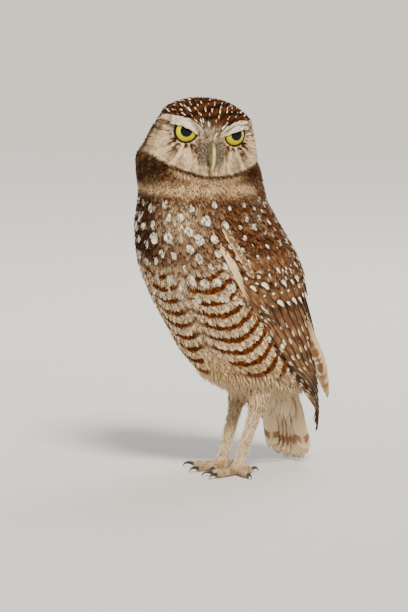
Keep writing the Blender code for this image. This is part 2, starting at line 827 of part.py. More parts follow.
def tail_quills(draw):
    """Six pairs of feathers in a closed fan, each pair under the one nearer the midline."""
    length = (TAIL_TIP - TAIL_ROOT).length
    made = []
    for side in (1, -1):
        for k in range(TAIL_PAIRS):
            name = f"rectrix_{side}_{k}"
            level = TAIL_STEP * (1 if side > 0 and k == 0 else -k)
            root = 0.003, side * 0.0015 * (k + 0.6)
            tip = length - 0.0002 * k * k, side * (0.0012 + 0.0021 * k)
            limit = own_side(side) if k else anywhere
            shape = TAIL_QUILL, TAIL_HALF_WIDTH
            made.append(tail_feather(name, root, tip, *shape, level, draw, limit))
    return made


def tail_coverts(draw):
    """Short feathers over and under the roots of the tail."""
    made = []
    for k in range(TAIL_COVERTS):
        lateral = mix(-1, 1, k / (TAIL_COVERTS - 1))
        step = k % 2
        root, tip = (0.006, 0.006 * lateral), (0.024 - 0.003 * abs(lateral), 0.009 * lateral)
        shape = COVERT, 0.0050
        made.append(tail_feather(f"upper_{k}", root, tip, *shape, 0.0021 + 0.0005 * step, draw))
        root, tip = (0.004, 0.006 * lateral), (0.033 - 0.004 * abs(lateral), 0.009 * lateral)
        shape = COVERT, 0.0056
        made.append(tail_feather(f"under_{k}", root, tip, *shape, -0.0056 - 0.0006 * step, draw))
    return made


def tail():
    """The closed tail: a fleshy base with the fan of feathers and their coverts."""
    centre, long, wide, high, level = TAIL_BASE
    rings = []
    for k in range(1, 8):
        lean = math.pi * k / 8
        ring = []
        for j in range(16):
            turn = math.tau * j / 16
            lateral = wide * math.sin(lean) * math.cos(turn)
            rise = level + high * math.sin(lean) * math.sin(turn)
            ring.append(on_tail(centre - long * math.cos(lean), lateral, rise))
        rings.append(ring)
    base = loft("tail", rings)
    draw = random.Random(TAIL_SEED)
    combine(base, tail_quills(draw) + tail_coverts(draw), "UNION", "MANIFOLD")
    combine(base, [torso("vent_gap", GAP * 1.5)], "DIFFERENCE", "MANIFOLD")
    return base


def centre_on_floor():
    """Moves everything so that the origin is under the middle of the bird's own box."""
    corners = [v.co for obj in bpy.data.objects if obj.type == "MESH" for v in obj.data.vertices]
    lows = [min(c[axis] for c in corners) for axis in range(3)]
    highs = [max(c[axis] for c in corners) for axis in range(3)]
    shift = Vector((-(lows[0] + highs[0]) / 2, -(lows[1] + highs[1]) / 2, -lows[2]))
    for obj in bpy.data.objects:
        if obj.type == "MESH":
            for vertex in obj.data.vertices:
                vertex.co += shift


def main():
    for obj in list(bpy.data.objects):
        bpy.data.objects.remove(obj)
    paint(torso(), (0.62, 0.47, 0.34), 0.85)
    paint(neck(), (0.55, 0.42, 0.31), 0.85)
    paint(head(), (0.60, 0.50, 0.40), 0.85)
    upper, lower = bill()
    paint(upper, (0.52, 0.50, 0.36), 0.45)
    paint(lower, (0.45, 0.43, 0.32), 0.5)
    for side, name in ((1, "eye_right"), (-1, "eye_left")):
        paint(ball(name, eye_centre(side), EYE_RADIUS), (0.85, 0.72, 0.12), 0.15)
    for side in ("left", "right"):
        thigh, shank = leg(side)
        paint(thigh, (0.80, 0.70, 0.54), 0.9)
        paint(shank, (0.62, 0.58, 0.50), 0.8)
        paint(foot(side), (0.50, 0.46, 0.38), 0.75)
        for claw in claws(side):
            paint(claw, (0.08, 0.07, 0.06), 0.4)
        paint(wing(side), (0.36, 0.24, 0.16), 0.8)
    paint(tail(), (0.50, 0.40, 0.31), 0.85)
    centre_on_floor()


main()
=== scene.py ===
"""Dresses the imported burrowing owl: skin, plumage, eyes, bill, legs, floor, lights and camera.

Metres, +Z up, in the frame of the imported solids. The body faces -Y and the head is turned to the
bird's left, which is +X. Places on the body are a height, an angle round it and a level over the
plumage's outline. Places on the head are right, forward and up from a point between the eyes.
"""

import math
from collections import namedtuple
from functools import lru_cache

import bmesh
import bpy
import numpy as np
from mathutils import Color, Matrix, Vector
from mathutils.bvhtree import BVHTree
from mathutils.kdtree import KDTree


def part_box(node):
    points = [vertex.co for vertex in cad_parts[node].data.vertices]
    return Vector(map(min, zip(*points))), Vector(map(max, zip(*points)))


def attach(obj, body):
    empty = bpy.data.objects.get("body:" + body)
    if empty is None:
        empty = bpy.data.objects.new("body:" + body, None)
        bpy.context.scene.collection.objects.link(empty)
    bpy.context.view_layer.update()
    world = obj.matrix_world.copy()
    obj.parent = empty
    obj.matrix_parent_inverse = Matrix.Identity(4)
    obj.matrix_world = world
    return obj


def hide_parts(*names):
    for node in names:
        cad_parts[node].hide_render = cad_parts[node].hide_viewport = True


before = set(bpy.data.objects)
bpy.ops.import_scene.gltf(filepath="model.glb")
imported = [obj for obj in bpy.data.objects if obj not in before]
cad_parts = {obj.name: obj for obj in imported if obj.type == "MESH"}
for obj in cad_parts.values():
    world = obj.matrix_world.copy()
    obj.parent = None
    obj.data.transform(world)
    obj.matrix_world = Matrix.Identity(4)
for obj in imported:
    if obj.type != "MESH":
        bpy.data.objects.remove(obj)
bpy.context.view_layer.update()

bl_info = {
    "name": "Burrowing owl",
    "version": (1, 0, 0),
    "blender": (4, 5, 0),
    "location": "3D View > Sidebar > Owl",
    "description": "Builds a life-size standing burrowing owl with modelled plumage",
    "category": "Add Mesh",
}

# The bird's own sizes, as in the solids
STANDING_HEIGHT, EYE_LEVEL, NECK_TOP = 0.2352, 0.2153, 0.1870
HEAD_TURN, HEAD_ROLL, HEAD_AXIS_Y = math.radians(56.5), math.radians(5.5), -0.0275
CROWN, CROWN_LEAN = STANDING_HEIGHT - EYE_LEVEL, -0.0026
# Outline of the plumage: height, centre y, half width, half depth
BODY = np.array((
    (0.010, 0.0495, 0.0260, 0.0190),
    (0.020, 0.0485, 0.0285, 0.0215),
    (0.036, 0.0440, 0.0320, 0.0270),
    (0.055, 0.0328, 0.0352, 0.0375),
    (0.074, 0.0188, 0.0412, 0.0440),
    (0.093, 0.0090, 0.0447, 0.0476),
    (0.115, -0.0024, 0.0478, 0.0510),
    (0.134, -0.0112, 0.0485, 0.0510),
    (0.156, -0.0212, 0.0442, 0.0455),
    (0.172, -0.0260, 0.0396, 0.0390),
    (0.190, -0.0275, 0.0370, 0.0315),
))
# Outline of the head: height above the eyes, half width, depth to the face, depth to the nape
HEAD = np.array((
    (-0.0340, 0.0370, 0.0300, 0.0325),
    (-0.0184, 0.0372, 0.0300, 0.0325),
    (-0.0104, 0.0354, 0.0296, 0.0320),
    (-0.0024, 0.0329, 0.0290, 0.0310),
    (0.0036, 0.0310, 0.0282, 0.0296),
    (0.0076, 0.0290, 0.0266, 0.0276),
    (0.0116, 0.0254, 0.0238, 0.0242),
    (0.0156, 0.0184, 0.0174, 0.0174),
    (0.0184, 0.0108, 0.0102, 0.0104),
    (CROWN, 0.0, 0.0, 0.0),
))
# The folded wing's leading edge: height, angle in degrees
WING_EDGE = np.array((
    (0.010, 132), (0.018, 126), (0.026, 110), (0.045, 80),
    (0.076, 64), (0.107, 55.6), (0.143, 48), (0.168, 42),
))
TORSO_BOTTOM, BELLY_ROUND = 0.046, 0.020
EYE_RADIUS, EYE_SPLAY = 0.0079, math.radians(12)
EYE_CENTRE = np.array((0.0144, 0.0196, 0.0))
LID_RADIUS = 0.0067
ANKLE, SOLE = np.array((0.014, 0.0165, 0.0425)), np.array((0.012, -0.0005, 0.0050))
# Each foot's step to the rear, and which way its side lies along x
STRIDE, SIGN = {"left": -0.0062, "right": 0.0063}, {"left": 1, "right": -1}
TOES = (("inner", -24, 0.0150, 0.0078), ("middle", 4, 0.0190, 0.0078),
        ("outer", 62, 0.0160, 0.0078), ("hind", 172, 0.0090, 0.0066))
TAIL_ROOT, TAIL_TIP = np.array((0.0, 0.0470, 0.0620)), np.array((0.0, 0.0612, 0.0032))
MIDLINE = math.radians(10)
# Height of the lowest bar on the belly, and the bars' distance from each other
LOWEST_BAR, BAR_GAP = 0.0620, 0.0080
# Below this height the folded wing's own feathers lie where the body's coat would
WING_COAT_TOP = 0.126
# The upper lid's margin in mm: half the eye's width, its middle, its rise outwards and its sag
LID_HALF, LID_MIDDLE, LID_RISE, LID_SAG = 7.0, 2.3, 2.3, 1.2
# Most triangles in one piece of a coat, and a tuft's patch on the map OFBake
PIECE_LIMIT, TUFT_PATCH = 190000, 0.0030


def ease(share):
    share = np.clip(share, 0.0, 1.0)
    return share * share * (3 - 2 * share)


def ramp(value, start, end):
    """0 at start, 1 at end and an eased step between them."""
    return ease((np.asarray(value, float) - start) / (end - start))


def mix(low, high, share):
    return low + (high - low) * share


def bump(distance, width):
    return np.exp(-((distance / width) ** 2))


def circle(count):
    """Angles of that many even steps round a circle."""
    return np.linspace(0, math.tau, count, endpoint=False)


def unit(vectors):
    return vectors / np.maximum(np.linalg.norm(vectors, axis=-1, keepdims=True), 1e-12)


def between(rows, key):
    """The other columns of rows at each key, on smooth curves through them."""
    key = np.clip(np.asarray(key, float), rows[0, 0], rows[-1, 0])
    index = np.clip(np.searchsorted(rows[:, 0], key) - 1, 0, len(rows) - 2)
    low, high = rows[index], rows[index + 1]
    before, after = rows[np.maximum(index - 1, 0)], rows[np.minimum(index + 2, len(rows) - 1)]
    span = high[..., :1] - low[..., :1]
    t = (key[..., None] - low[..., :1]) / span
    leaving = (high - before)[..., 1:] / (high - before)[..., :1] * span
    arriving = (after - low)[..., 1:] / (after - low)[..., :1] * span
    return (low[..., 1:] * (2 * t**3 - 3 * t**2 + 1) + leaving * (t**3 - 2 * t**2 + t)
            + high[..., 1:] * (3 * t**2 - 2 * t**3) + arriving * (t**3 - t**2))


def outline_radius(height, angle):
    found = between(BODY, height)
    angle = angle - HEAD_TURN * ramp(height, 0.160, NECK_TOP)
    return 1 / np.hypot(np.sin(angle) / found[..., 1], np.cos(angle) / found[..., 2])


def on_body_raw(height, angle, level=0.0):
    height, angle, level = np.broadcast_arrays(*(np.asarray(v, float) for v in (height, angle, level)))
    radius = outline_radius(height, angle) + level
    return np.stack(
        (radius * np.sin(angle), between(BODY, height)[..., 0] - radius * np.cos(angle), height), -1
    )


def head_axes():
    forward = np.array((math.sin(HEAD_TURN), -math.cos(HEAD_TURN), 0))
    right = np.array((-math.cos(HEAD_TURN), -math.sin(HEAD_TURN), 0))
    up = np.array((0, 0, 1))
    return np.stack((
        right * math.cos(HEAD_ROLL) + up * math.sin(HEAD_ROLL),
        forward,
        up * math.cos(HEAD_ROLL) - right * math.sin(HEAD_ROLL),
    ))


HEAD_CENTRE = np.array((0.0, HEAD_AXIS_Y, EYE_LEVEL))


def eye_centre(side):
    return EYE_CENTRE * (side, 1, 1)


def eye_axis(side):
    return np.array((side * math.sin(EYE_SPLAY), math.cos(EYE_SPLAY), 0))


def eye_frame(side):
    """Across, up and out of an eye, and 1 or -1 for the end of the first that is its outer corner."""
    axis = eye_axis(side)
    across = unit(np.cross(axis, (0, 0, 1)))
    return across, np.cross(across, axis), axis, 1.0 if across[0] * side > 0 else -1.0


def lid_line(x):
    """Height of the upper lid's margin in mm, at x mm from the eye's middle to its outer corner."""
    share = x / LID_HALF
    return LID_MIDDLE + LID_RISE * share - LID_SAG * share**2


def frame_offset():
    """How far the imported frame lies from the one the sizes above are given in."""
    low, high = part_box("eye_right")
    return np.array((low + high) / 2) - HEAD_CENTRE - eye_centre(1) @ head_axes()


OFFSET = frame_offset()


def on_body(height, angle, level=0.0):
    """A place on the body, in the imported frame."""
    return on_body_raw(height, angle, level) + OFFSET


def from_head(points):
    return HEAD_CENTRE + OFFSET + np.asarray(points, float) @ head_axes()


def to_head(points):
    return (points - HEAD_CENTRE - OFFSET) @ head_axes().T


def body_place(points):
    """Height and angle round the body of each point. The angle rises towards the bird's left."""
    points = points - OFFSET
    height = points[..., 2]
    centre = between(BODY, height)[..., 0]
    return height, np.arctan2(points[..., 0], centre - points[..., 1])


def edge_angle(height):
    return np.radians(between(WING_EDGE, height)[..., 0])


def brow_height(side):
    """Height of the brow's crest at a distance from the middle of the face."""
    return 0.0076 - 0.0095 * np.exp(-(side - 0.005) / 0.006)


def head_place(points):
    """Right, forward and up on the head, distance from its middle, and height over the brow's crest."""
    head = to_head(points)
    x, y, z = head[..., 0], head[..., 1], head[..., 2]
    side = np.abs(x)
    return x, y, z, side, z - brow_height(side)


def disc_edge(x):
    """Height of the lower edge of the face, where the ruff begins."""
    return -0.0262 + 8.6 * x**2


def face_relief(x, z):
    """How far the face stands out of the head's plain oval."""
    side = np.abs(x)
    above = z - brow_height(side)
    brow = 0.0034 * bump(above, np.where(above > 0, 0.0042, 0.0022))
    brow = brow * ramp(side, 0.002, 0.011) * ramp(side, 0.030, 0.022)
    from_eye = np.hypot(side - 0.0155, z)
    hollow = -0.0042 * bump(from_eye, 0.0085) * ramp(above, 0.0020, -0.0020)
    from_disc = np.hypot(side - 0.0145, z + 0.006)
    rim = 0.0013 * bump(from_disc - 0.0185, 0.0022) * ramp(z, 0.004, -0.004)
    lores = 0.0028 * bump(side, 0.0048) * bump(z + 0.008, 0.009)
    cheek = 0.0012 * bump(np.hypot(side - 0.008, z + 0.015), 0.005)
    chin = -0.0020 * bump(side, 0.008) * bump(z + 0.0265, 0.004)
    return brow + hollow + rim + lores + cheek + chin


def head_point(turn, height, grow=0.0):
    """A place on the head, with turn measured from the face and rising to the head's right."""
    found = between(HEAD, height)
    sine, cosine = np.sin(turn), np.cos(turn)
    deep = np.where(cosine > 0, found[..., 1], found[..., 2])
    x = (found[..., 0] + grow) * np.copysign(np.abs(sine) ** 0.88, sine)
    y = (deep + grow) * np.copysign(np.abs(cosine) ** 0.88, cosine)
    y = y + face_relief(x, height) * ramp(cosine, 0.15, 0.5)
    return np.stack((x + CROWN_LEAN * ramp(height, -0.016, CROWN), y, height + 0 * x), -1)


def new_object(name, mesh):
    made = bpy.data.objects.new(name, mesh)
    bpy.context.scene.collection.objects.link(made)
    return made


def mesh_of(name, points, faces):
    """A mesh of those points. faces is an array of rows of equally many corners."""
    faces = np.asarray(faces, np.int32)
    mesh = bpy.data.meshes.new(name)
    mesh.vertices.add(len(points))
    mesh.vertices.foreach_set("co", np.asarray(points, np.float32).ravel())
    mesh.loops.add(faces.size)
    mesh.loops.foreach_set("vertex_index", faces.ravel())
    mesh.polygons.add(len(faces))
    mesh.polygons.foreach_set("loop_start", np.arange(0, faces.size, faces.shape[1], dtype=np.int32))
    mesh.update(calc_edges=True)
    return mesh


def loft(rings):
    """Points and triangles of a closed shape through rings of equally many points, ends fanned."""
    rings = np.asarray(rings, float)
    count, around = rings.shape[:2]
    index = np.arange(count * around).reshape(count, around)
    a, b = index[:-1], index[1:]
    turned = np.roll(index, -1, 1)
    c, d = turned[1:], turned[:-1]
    faces = [np.stack((a, d, c), -1).reshape(-1, 3), np.stack((a, c, b), -1).reshape(-1, 3)]
    points = np.concatenate((rings.reshape(-1, 3), rings[:1].mean(1), rings[-1:].mean(1)))
    low, high = count * around, count * around + 1
    ends = np.full(around, low), np.full(around, high)
    faces.append(np.stack((ends[0], turned[0], index[0]), -1))
    faces.append(np.stack((ends[1], index[-1], turned[-1]), -1))
    return points, np.concatenate(faces)


def joined(shapes):
    """Several pairs of points and faces as one."""
    points, faces, start = [], [], 0
    for p, f in shapes:
        points.append(p)
        faces.append(np.asarray(f) + start)
        start += len(p)
    return np.concatenate(points), np.concatenate(faces)


def outward(mesh):
    """Turns every closed shell of the mesh to face outwards."""
    shape = bmesh.new()
    shape.from_mesh(mesh)
    bmesh.ops.recalc_face_normals(shape, faces=shape.faces)
    shape.to_mesh(mesh)
    shape.free()
    return mesh


def fused(name, shapes, voxel, rounds):
    """One closed skin of triangles over several shapes, smoothed that many times."""
    made = new_object(name, mesh_of(name, *joined(shapes)))
    for kind, settings in (
        ("REMESH", {"mode": "VOXEL", "voxel_size": voxel}),
        ("SMOOTH", {"factor": 0.5, "iterations": rounds}),
        ("TRIANGULATE", {}),
    ):
        change = made.modifiers.new(kind.lower(), kind)
        for key, value in settings.items():
            setattr(change, key, value)
    done = plain(made)
    bpy.data.objects.remove(made)
    done.name = name
    return done


def plain(made):
    """The object's mesh, with its modifiers carried out."""
    graph = bpy.context.evaluated_depsgraph_get()
    return bpy.data.meshes.new_from_object(made.evaluated_get(graph))


def smoothed(mesh):
    """The mesh, with its faces shaded smooth."""
    mesh.polygons.foreach_set("use_smooth", np.ones(len(mesh.polygons), bool))
    return mesh


def move(mesh, points):
    mesh.vertices.foreach_set("co", points.astype(np.float32).ravel())
    mesh.update()


def corners_of(mesh):
    """The point at each corner of each face, in order."""
    corners = np.empty(len(mesh.loops), np.int32)
    mesh.loops.foreach_get("vertex_index", corners)
    return corners


def areas(corners):
    """The area of each triangle, from its three corners."""
    first, second = corners[:, 1] - corners[:, 0], corners[:, 2] - corners[:, 0]
    return np.linalg.norm(np.cross(first, second), axis=1) / 2


def search_tree(points):
    tree = KDTree(len(points))
    for i, point in enumerate(points.tolist()):
        tree.insert(point, i)
    tree.balance()
    return tree


def vertices_of(mesh, what="co"):
    found = np.empty(len(mesh.vertices) * 3, np.float32)
    if what == "co":
        mesh.vertices.foreach_get("co", found)
    else:
        mesh.vertex_normals.foreach_get("vector", found)
    return found.reshape(-1, 3).astype(float)


def node_shape(name):
    """A CAD node's points and triangles, with doubled points merged."""
    shape = bmesh.new()
    shape.from_mesh(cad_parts[name].data)
    bmesh.ops.remove_doubles(shape, verts=shape.verts, dist=1e-6)
    bmesh.ops.triangulate(shape, faces=shape.faces)
    points = np.array([v.co for v in shape.verts])
    faces = np.array([[v.index for v in f.verts] for f in shape.faces])
    shape.free()
    return points, faces


def without_ledge(points, faces):
    """The points with the head's lower edge smoothed into the neck behind the face."""
    pairs = np.concatenate((faces[:, :2], faces[:, 1:], faces[:, ::2]))
    pairs = np.concatenate((pairs, pairs[:, ::-1]))
    count = np.bincount(pairs[:, 0], minlength=len(points))[:, None]
    height, front = points[:, 2], to_head(points)[:, 1]
    share = ramp(height, 0.170, 0.176) * ramp(height, 0.198, 0.190) * ramp(front, 0.012, 0.000)
    for _ in range(90):
        beside = points[pairs[:, 1]]
        total = np.stack([np.bincount(pairs[:, 0], beside[:, k], len(points)) for k in range(3)], -1)
        points = points + 0.6 * share[:, None] * (total / count - points)
    return points


@lru_cache(None)
def outline():
    """The outside of the plumage without its feathers: points, normals, triangles and a search tree."""
    heights = TORSO_BOTTOM + (NECK_TOP + 0.004 - TORSO_BOTTOM) * (np.arange(1, 49) / 48) ** 1.4
    angles = circle(96)
    inside = np.maximum((TORSO_BOTTOM + BELLY_ROUND - heights) / BELLY_ROUND, 0)
    closing = (1 - inside**2.4) ** (1 / 2.4)
    centre = np.stack((0 * heights, between(BODY, heights)[:, 0], heights), -1)[:, None] + OFFSET
    rings = on_body(heights[:, None], angles[None, :])
    body = loft(centre + (rings - centre) * closing[:, None, None])
    rows = np.concatenate((np.linspace(-0.0335, 0.0110, 40), CROWN * np.sin(np.linspace(0.6, 1.56, 14))))
    turns = circle(120)
    head = loft(from_head(head_point(turns[None, :], rows[:, None])))
    shapes = [body, head] + [node_shape(f"thigh_{side}") for side in STRIDE]
    mesh = fused("outline", shapes, 0.0011, 5)
    faces = corners_of(mesh).reshape(-1, 3)
    points = without_ledge(vertices_of(mesh), faces)
    local = to_head(points)
    x, y, z = local.T
    flat = ramp(np.abs(x), 0.018, 0.028) * ramp(y, 0.014, 0.002)
    flat = flat * ramp(z, -0.019, -0.010) * ramp(z, 0.017, 0.008)
    local[:, 0] -= 0.0024 * np.sign(x) * flat
    points = from_head(local)
    below = disc_edge(local[:, 0]) - local[:, 2]
    crease = bump(below - 0.0012, 0.0012) - 0.5 * bump(below + 0.0016, 0.0014)
    crease = crease * ramp(local[:, 1], 0.006, 0.014) * 0.0009
    points = points - vertices_of(mesh, "normal") * crease[:, None]
    move(mesh, points)
    normals = vertices_of(mesh, "normal")
    tree = BVHTree.FromPolygons(points.tolist(), faces.tolist())
    return points, normals, faces, tree


def in_wing(points):
    """1 where the folded wing covers the body, 0 elsewhere."""
    height, angle = body_place(points)
    side = np.abs(angle)
    inside = ramp(side - edge_angle(height), 0.02, 0.07) * ramp(side, math.radians(169), math.radians(165))
    return inside * ramp(height, 0.160, 0.150) * ramp(height, 0.052, 0.062)


# The plumage's regions: spacing, length, half width and level of the tips, in mm
REGIONS = {
    "face": (1.00, 4.4, 0.50, 0.10),
    "brow": (0.95, 5.2, 0.62, 1.10),
    "crown": (1.75, 5.4, 1.20, 0.10),
    "nape": (2.7, 7.2, 2.1, 0.20),
    "throat": (2.2, 6.6, 1.3, 0.45),
    "breast": (4.3, 10.5, 3.5, 0.10),
    "belly": (4.1, 12.5, 3.3, 0.20),
    "vent": (2.1, 12.0, 1.2, 0.40),
    "thigh": (1.5, 7.0, 0.75, 0.30),
    "mantle": (4.4, 10.5, 3.6, 0.05),
    "covert": (3.9, 9.0, 3.2, 0.05),
}


def region_weights(points):
    """How much each point belongs to each region of the plumage."""
    height, angle = body_place(points)
    x, y, z, side, above = head_place(points)
    front = ramp(y, -0.006, 0.001)
    on_head = ramp(height, 0.186, 0.190) * ramp(z - disc_edge(x), -0.0015, 0.0010)
    face = on_head * front * ramp(above, 0.0018, 0.0002)
    brow = on_head * ramp(y, 0.008, 0.013) * ramp(above, -0.0042, -0.0030) * ramp(above, 0.0024, 0.0012)
    brow = brow * ramp(side, 0.0040, 0.0065) * ramp(side, 0.0245, 0.0215)
    crown = np.maximum(ramp(above, 0.0004, 0.0020) * front, (1 - front) * ramp(z, -0.004, 0.002))
    crown = crown * ramp(height, 0.186, 0.190)
    around = np.abs((angle - 0.5 * HEAD_TURN + math.pi) % math.tau - math.pi)
    throat = ramp(height, 0.171, 0.177) * ramp(around, 1.5, 1.1)
    nape = ramp(height, 0.172, 0.180)
    level = np.abs(angle)
    wing = np.maximum(in_wing(points), ramp(level, 0.95, 1.25) * ramp(height, 0.145, 0.152))
    mantle = ramp(level, 2.2, 2.5)
    vent = ramp(height, 0.066, 0.055) * ramp(level, 0.5, 1.0)
    vent = np.maximum(vent, mantle * ramp(height, 0.085, 0.072))
    thigh = ramp(height, 0.0560, 0.0500)
    belly = ramp(height, 0.120, 0.105)
    vent = np.maximum(vent, ramp(height, 0.064, 0.056))
    weights, left = {}, np.ones_like(height)
    for name, value in (("brow", brow), ("face", face), ("crown", crown), ("throat", throat),
                        ("nape", nape), ("thigh", thigh), ("vent", vent), ("mantle", mantle),
                        ("covert", wing), ("belly", belly)):
        weights[name] = left * np.clip(value, 0, 1)
        left = left - weights[name]
    weights["breast"] = left
    return weights


def region_sizes(points):
    """Spacing, length, half width and tip level of the feathers rooted at each point."""
    weights = region_weights(points)
    sizes = sum(w[..., None] * np.array(REGIONS[name]) for name, w in weights.items())
    return sizes * 1e-3


def coat_depth(points):
    """How far the skin lies under the plumage's outline."""
    height, _ = body_place(points)
    weights = region_weights(points)
    depth = 0.0022 - 0.0013 * (weights["face"] + weights["brow"]) - 0.0006 * weights["crown"]
    depth = depth - 0.0010 * weights["thigh"]
    return depth + 0.0034 * ramp(height, 0.150, 0.118) * in_wing(points)


def lie(points, normals):
    """The direction in which the feathers lie at each point of the outline, along its surface."""
    height, angle = body_place(points)
    step = 0.002
    fall = unit(on_body_raw(height - step, angle) - on_body_raw(height + step, angle))
    sideways = np.cross(normals, fall)
    splay = np.sin(np.clip((angle - MIDLINE) * 2.2, -math.pi / 2, math.pi / 2))
    splay = splay * 0.26 * ramp(np.abs(angle), 1.7, 1.1) * ramp(height, 0.172, 0.150)
    body = fall + sideways * splay[..., None]
    x, y, z, side, above = head_place(points)
    sign = np.where(x < 0, -1.0, 1.0)
    from_eye = np.stack((x - sign * 0.0150, y - 0.021, z - 0.0005), -1)
    radial = unit(from_eye)
    radial[..., 1] = 0
    over = unit(np.stack((x, y - 0.034, z + 0.006), -1))
    down = np.zeros_like(over)
    down[..., 2] = -1
    behind = ramp(y, 0.004, -0.018)[..., None]
    crown = over * (1 - behind) + (down + 0.3 * over) * behind
    flank = (ramp(side, 0.018, 0.027) * ramp(z, 0.010, 0.000) * ramp(y, 0.012, 0.002))[..., None]
    crown = crown * (1 - flank) + (down + np.stack((0 * x, -0.6 + 0 * x, 0 * x), -1)) * flank
    upward = 0.15 + 1.1 * bump(side - 0.004, 0.007)
    along_brow = np.stack((sign, -0.35 * ramp(side, 0.010, 0.020), upward), -1)
    brow = (bump(above - 0.0016, 0.0026) * ramp(y, 0.006, 0.012) * ramp(side, 0.028, 0.020))[..., None]
    face = (ramp(above, 0.0020, 0.0000) * ramp(y, 0.000, 0.008))[..., None]
    chin = (bump(side, 0.011) * ramp(z, -0.010, -0.020))[..., None]
    facial = radial * (1 - chin) + down * chin
    found = crown * (1 - face) + facial * face
    found = (found * (1 - brow) + along_brow * brow) @ head_axes()
    above_neck = ramp(height, 0.184, 0.194)[..., None]
    found = body * (1 - above_neck) + found * above_neck
    found = found - normals * np.sum(found * normals, -1, keepdims=True)
    return unit(found)


def nearest(points):
    """The outline's nearest point, and its smooth normal there, for each point."""
    surface, normals, faces, tree = outline()
    flat = points.reshape(-1, 3)
    where, index = np.empty_like(flat), np.empty(len(flat), int)
    for i, point in enumerate(flat.tolist()):
        place, _, face, _ = tree.find_nearest(point)
        where[i], index[i] = place, face
    corners = faces[index]
    away = 1 / (np.linalg.norm(surface[corners] - where[:, None], axis=-1) + 1e-5)
    found = unit((normals[corners] * away[..., None]).sum(1))
    return where.reshape(points.shape), found.reshape(points.shape)


def spread(points, spacing):
    """Indices of points that keep their own spacing from each other, taken in the order given."""
    tree = search_tree(points)
    alive = np.ones(len(points), bool)
    kept = []
    for i, point in enumerate(points.tolist()):
        if alive[i]:
            kept.append(i)
            for _, j, _ in tree.find_range(point, spacing[i]):
                alive[j] = False
    return np.array(kept, int)


def scatter(density, draw, crowd=7):
    """Roots on the outline, spaced by the region's own spacing times density."""
    points, normals, faces, _ = outline()
    corners = points[faces]
    gap = region_sizes(corners.mean(1))[:, 0] * density
    chance = areas(corners) / gap**2 * crowd
    count = int(chance.sum())
    chosen = draw.choice(len(faces), count, p=chance / chance.sum())
    a, b = draw.random(count), draw.random(count)
    a, b = np.where(a + b > 1, 1 - a, a), np.where(a + b > 1, 1 - b, b)
    weights = np.stack((1 - a - b, a, b), -1)
    roots = (corners[chosen] * weights[..., None]).sum(1)
    facing = unit((normals[faces[chosen]] * weights[..., None]).sum(1))
    kept = spread(roots, region_sizes(roots)[:, 0] * density)
    return roots[kept], facing[kept]


def walk(roots, facing, lengths, steps, draw, wander=0.10):
    """Paths along the outline from each root, and the outline's normals on them."""
    path, normals = [roots], [facing]
    turn = draw.normal(0, wander, len(roots))
    for _ in range(steps):
        way = lie(path[-1], normals[-1])
        way = way + np.cross(normals[-1], way) * turn[:, None]
        where, normal = nearest(path[-1] + unit(way) * (lengths / steps)[:, None])
        path.append(where)
        normals.append(normal)
    return np.stack(path, 1), np.stack(normals, 1)


def along_path(values, share):
    """Values on evenly spaced points of each path, read at shares of its length."""
    last = values.shape[1] - 1
    place = np.clip(share, 0, 1) * last
    low = np.minimum(place.astype(int), last - 1)
    part = (place - low)[..., None]
    rows = np.arange(len(values)).reshape((-1,) + (1,) * (share.ndim - 1))
    return values[rows, low] * (1 - part) + values[rows, low + 1] * part


def spot_field(centres, ways, normals, sizes):
    """Spots on the plumage, as a function from points to their distance from the nearest spot.

    The distance is 0 at a spot's centre and 1 on its edge. sizes are half lengths and half widths.
    """
    tree = search_tree(centres)
    across = np.cross(normals, ways)

    def distance(points):
        flat = points.reshape(-1, 3)
        index = np.array([tree.find(p)[1] for p in flat.tolist()])
        away = flat - centres[index]
        u = np.sum(away * ways[index], -1) / sizes[index, 0]
        v = np.sum(away * across[index], -1) / sizes[index, 1]
        return np.minimum(np.hypot(u, v), 9.0).reshape(points.shape[:-1])

    return distance


def smooth_noise(points, scale, seed):
    """A soft wandering value from about -1 to 1 over space."""
    draw = np.random.default_rng(seed)
    total = 0
    for octave, strength in ((1.0, 0.55), (2.1, 0.30), (4.3, 0.15)):
        for _ in range(3):
            way = unit(draw.normal(size=3)) * octave / scale
            total = total + strength * np.sin(points @ way * math.tau + draw.uniform(0, math.tau)) / 1.7
    return total


@lru_cache(None)
def spots():
    """The white spots of the whole plumage, as a distance function."""
    draw = np.random.default_rng(21)
    points, normals, faces, _ = outline()
    corners = points[faces]
    middle = corners.mean(1)
    gap = spot_spacing(middle)
    chance = np.where(gap > 0.03, 0, areas(corners) / gap**2)
    chosen = draw.choice(len(faces), int(chance.sum() * 12), p=chance / chance.sum())
    centres = middle[chosen]
    kept = spread(centres, spot_spacing(centres))
    centres, facing = centres[kept], normals[faces[chosen[kept], 0]]
    height, _ = body_place(centres)
    weights = region_weights(centres)
    fixed = {
        "crown": (2.7, 0.42), "face": (0.0, 0.0), "brow": (0.0, 0.0), "nape": (2.0, 0.9),
        "throat": (1.5, 0.9), "mantle": (2.2, 2.2), "covert": (2.2, 1.3), "belly": (1.9, 3.1),
        "breast": (3.4, 2.75), "vent": (0.0, 0.0), "thigh": (0.0, 0.0),
    }
    sizes = sum(weights[k][:, None] * np.array(v) for k, v in fixed.items()) * 1e-3
    small = mix(0.75, 1.0, np.maximum(ramp(height, 0.176, 0.162), ramp(height, 0.186, 0.192)))
    sizes = sizes * (small * draw.uniform(0.70, 1.15, len(centres)))[:, None]
    sizes[:, 1] *= draw.uniform(0.8, 1.15, len(centres))
    return spot_field(centres, lie(centres, facing), facing, np.maximum(sizes, 1e-5))


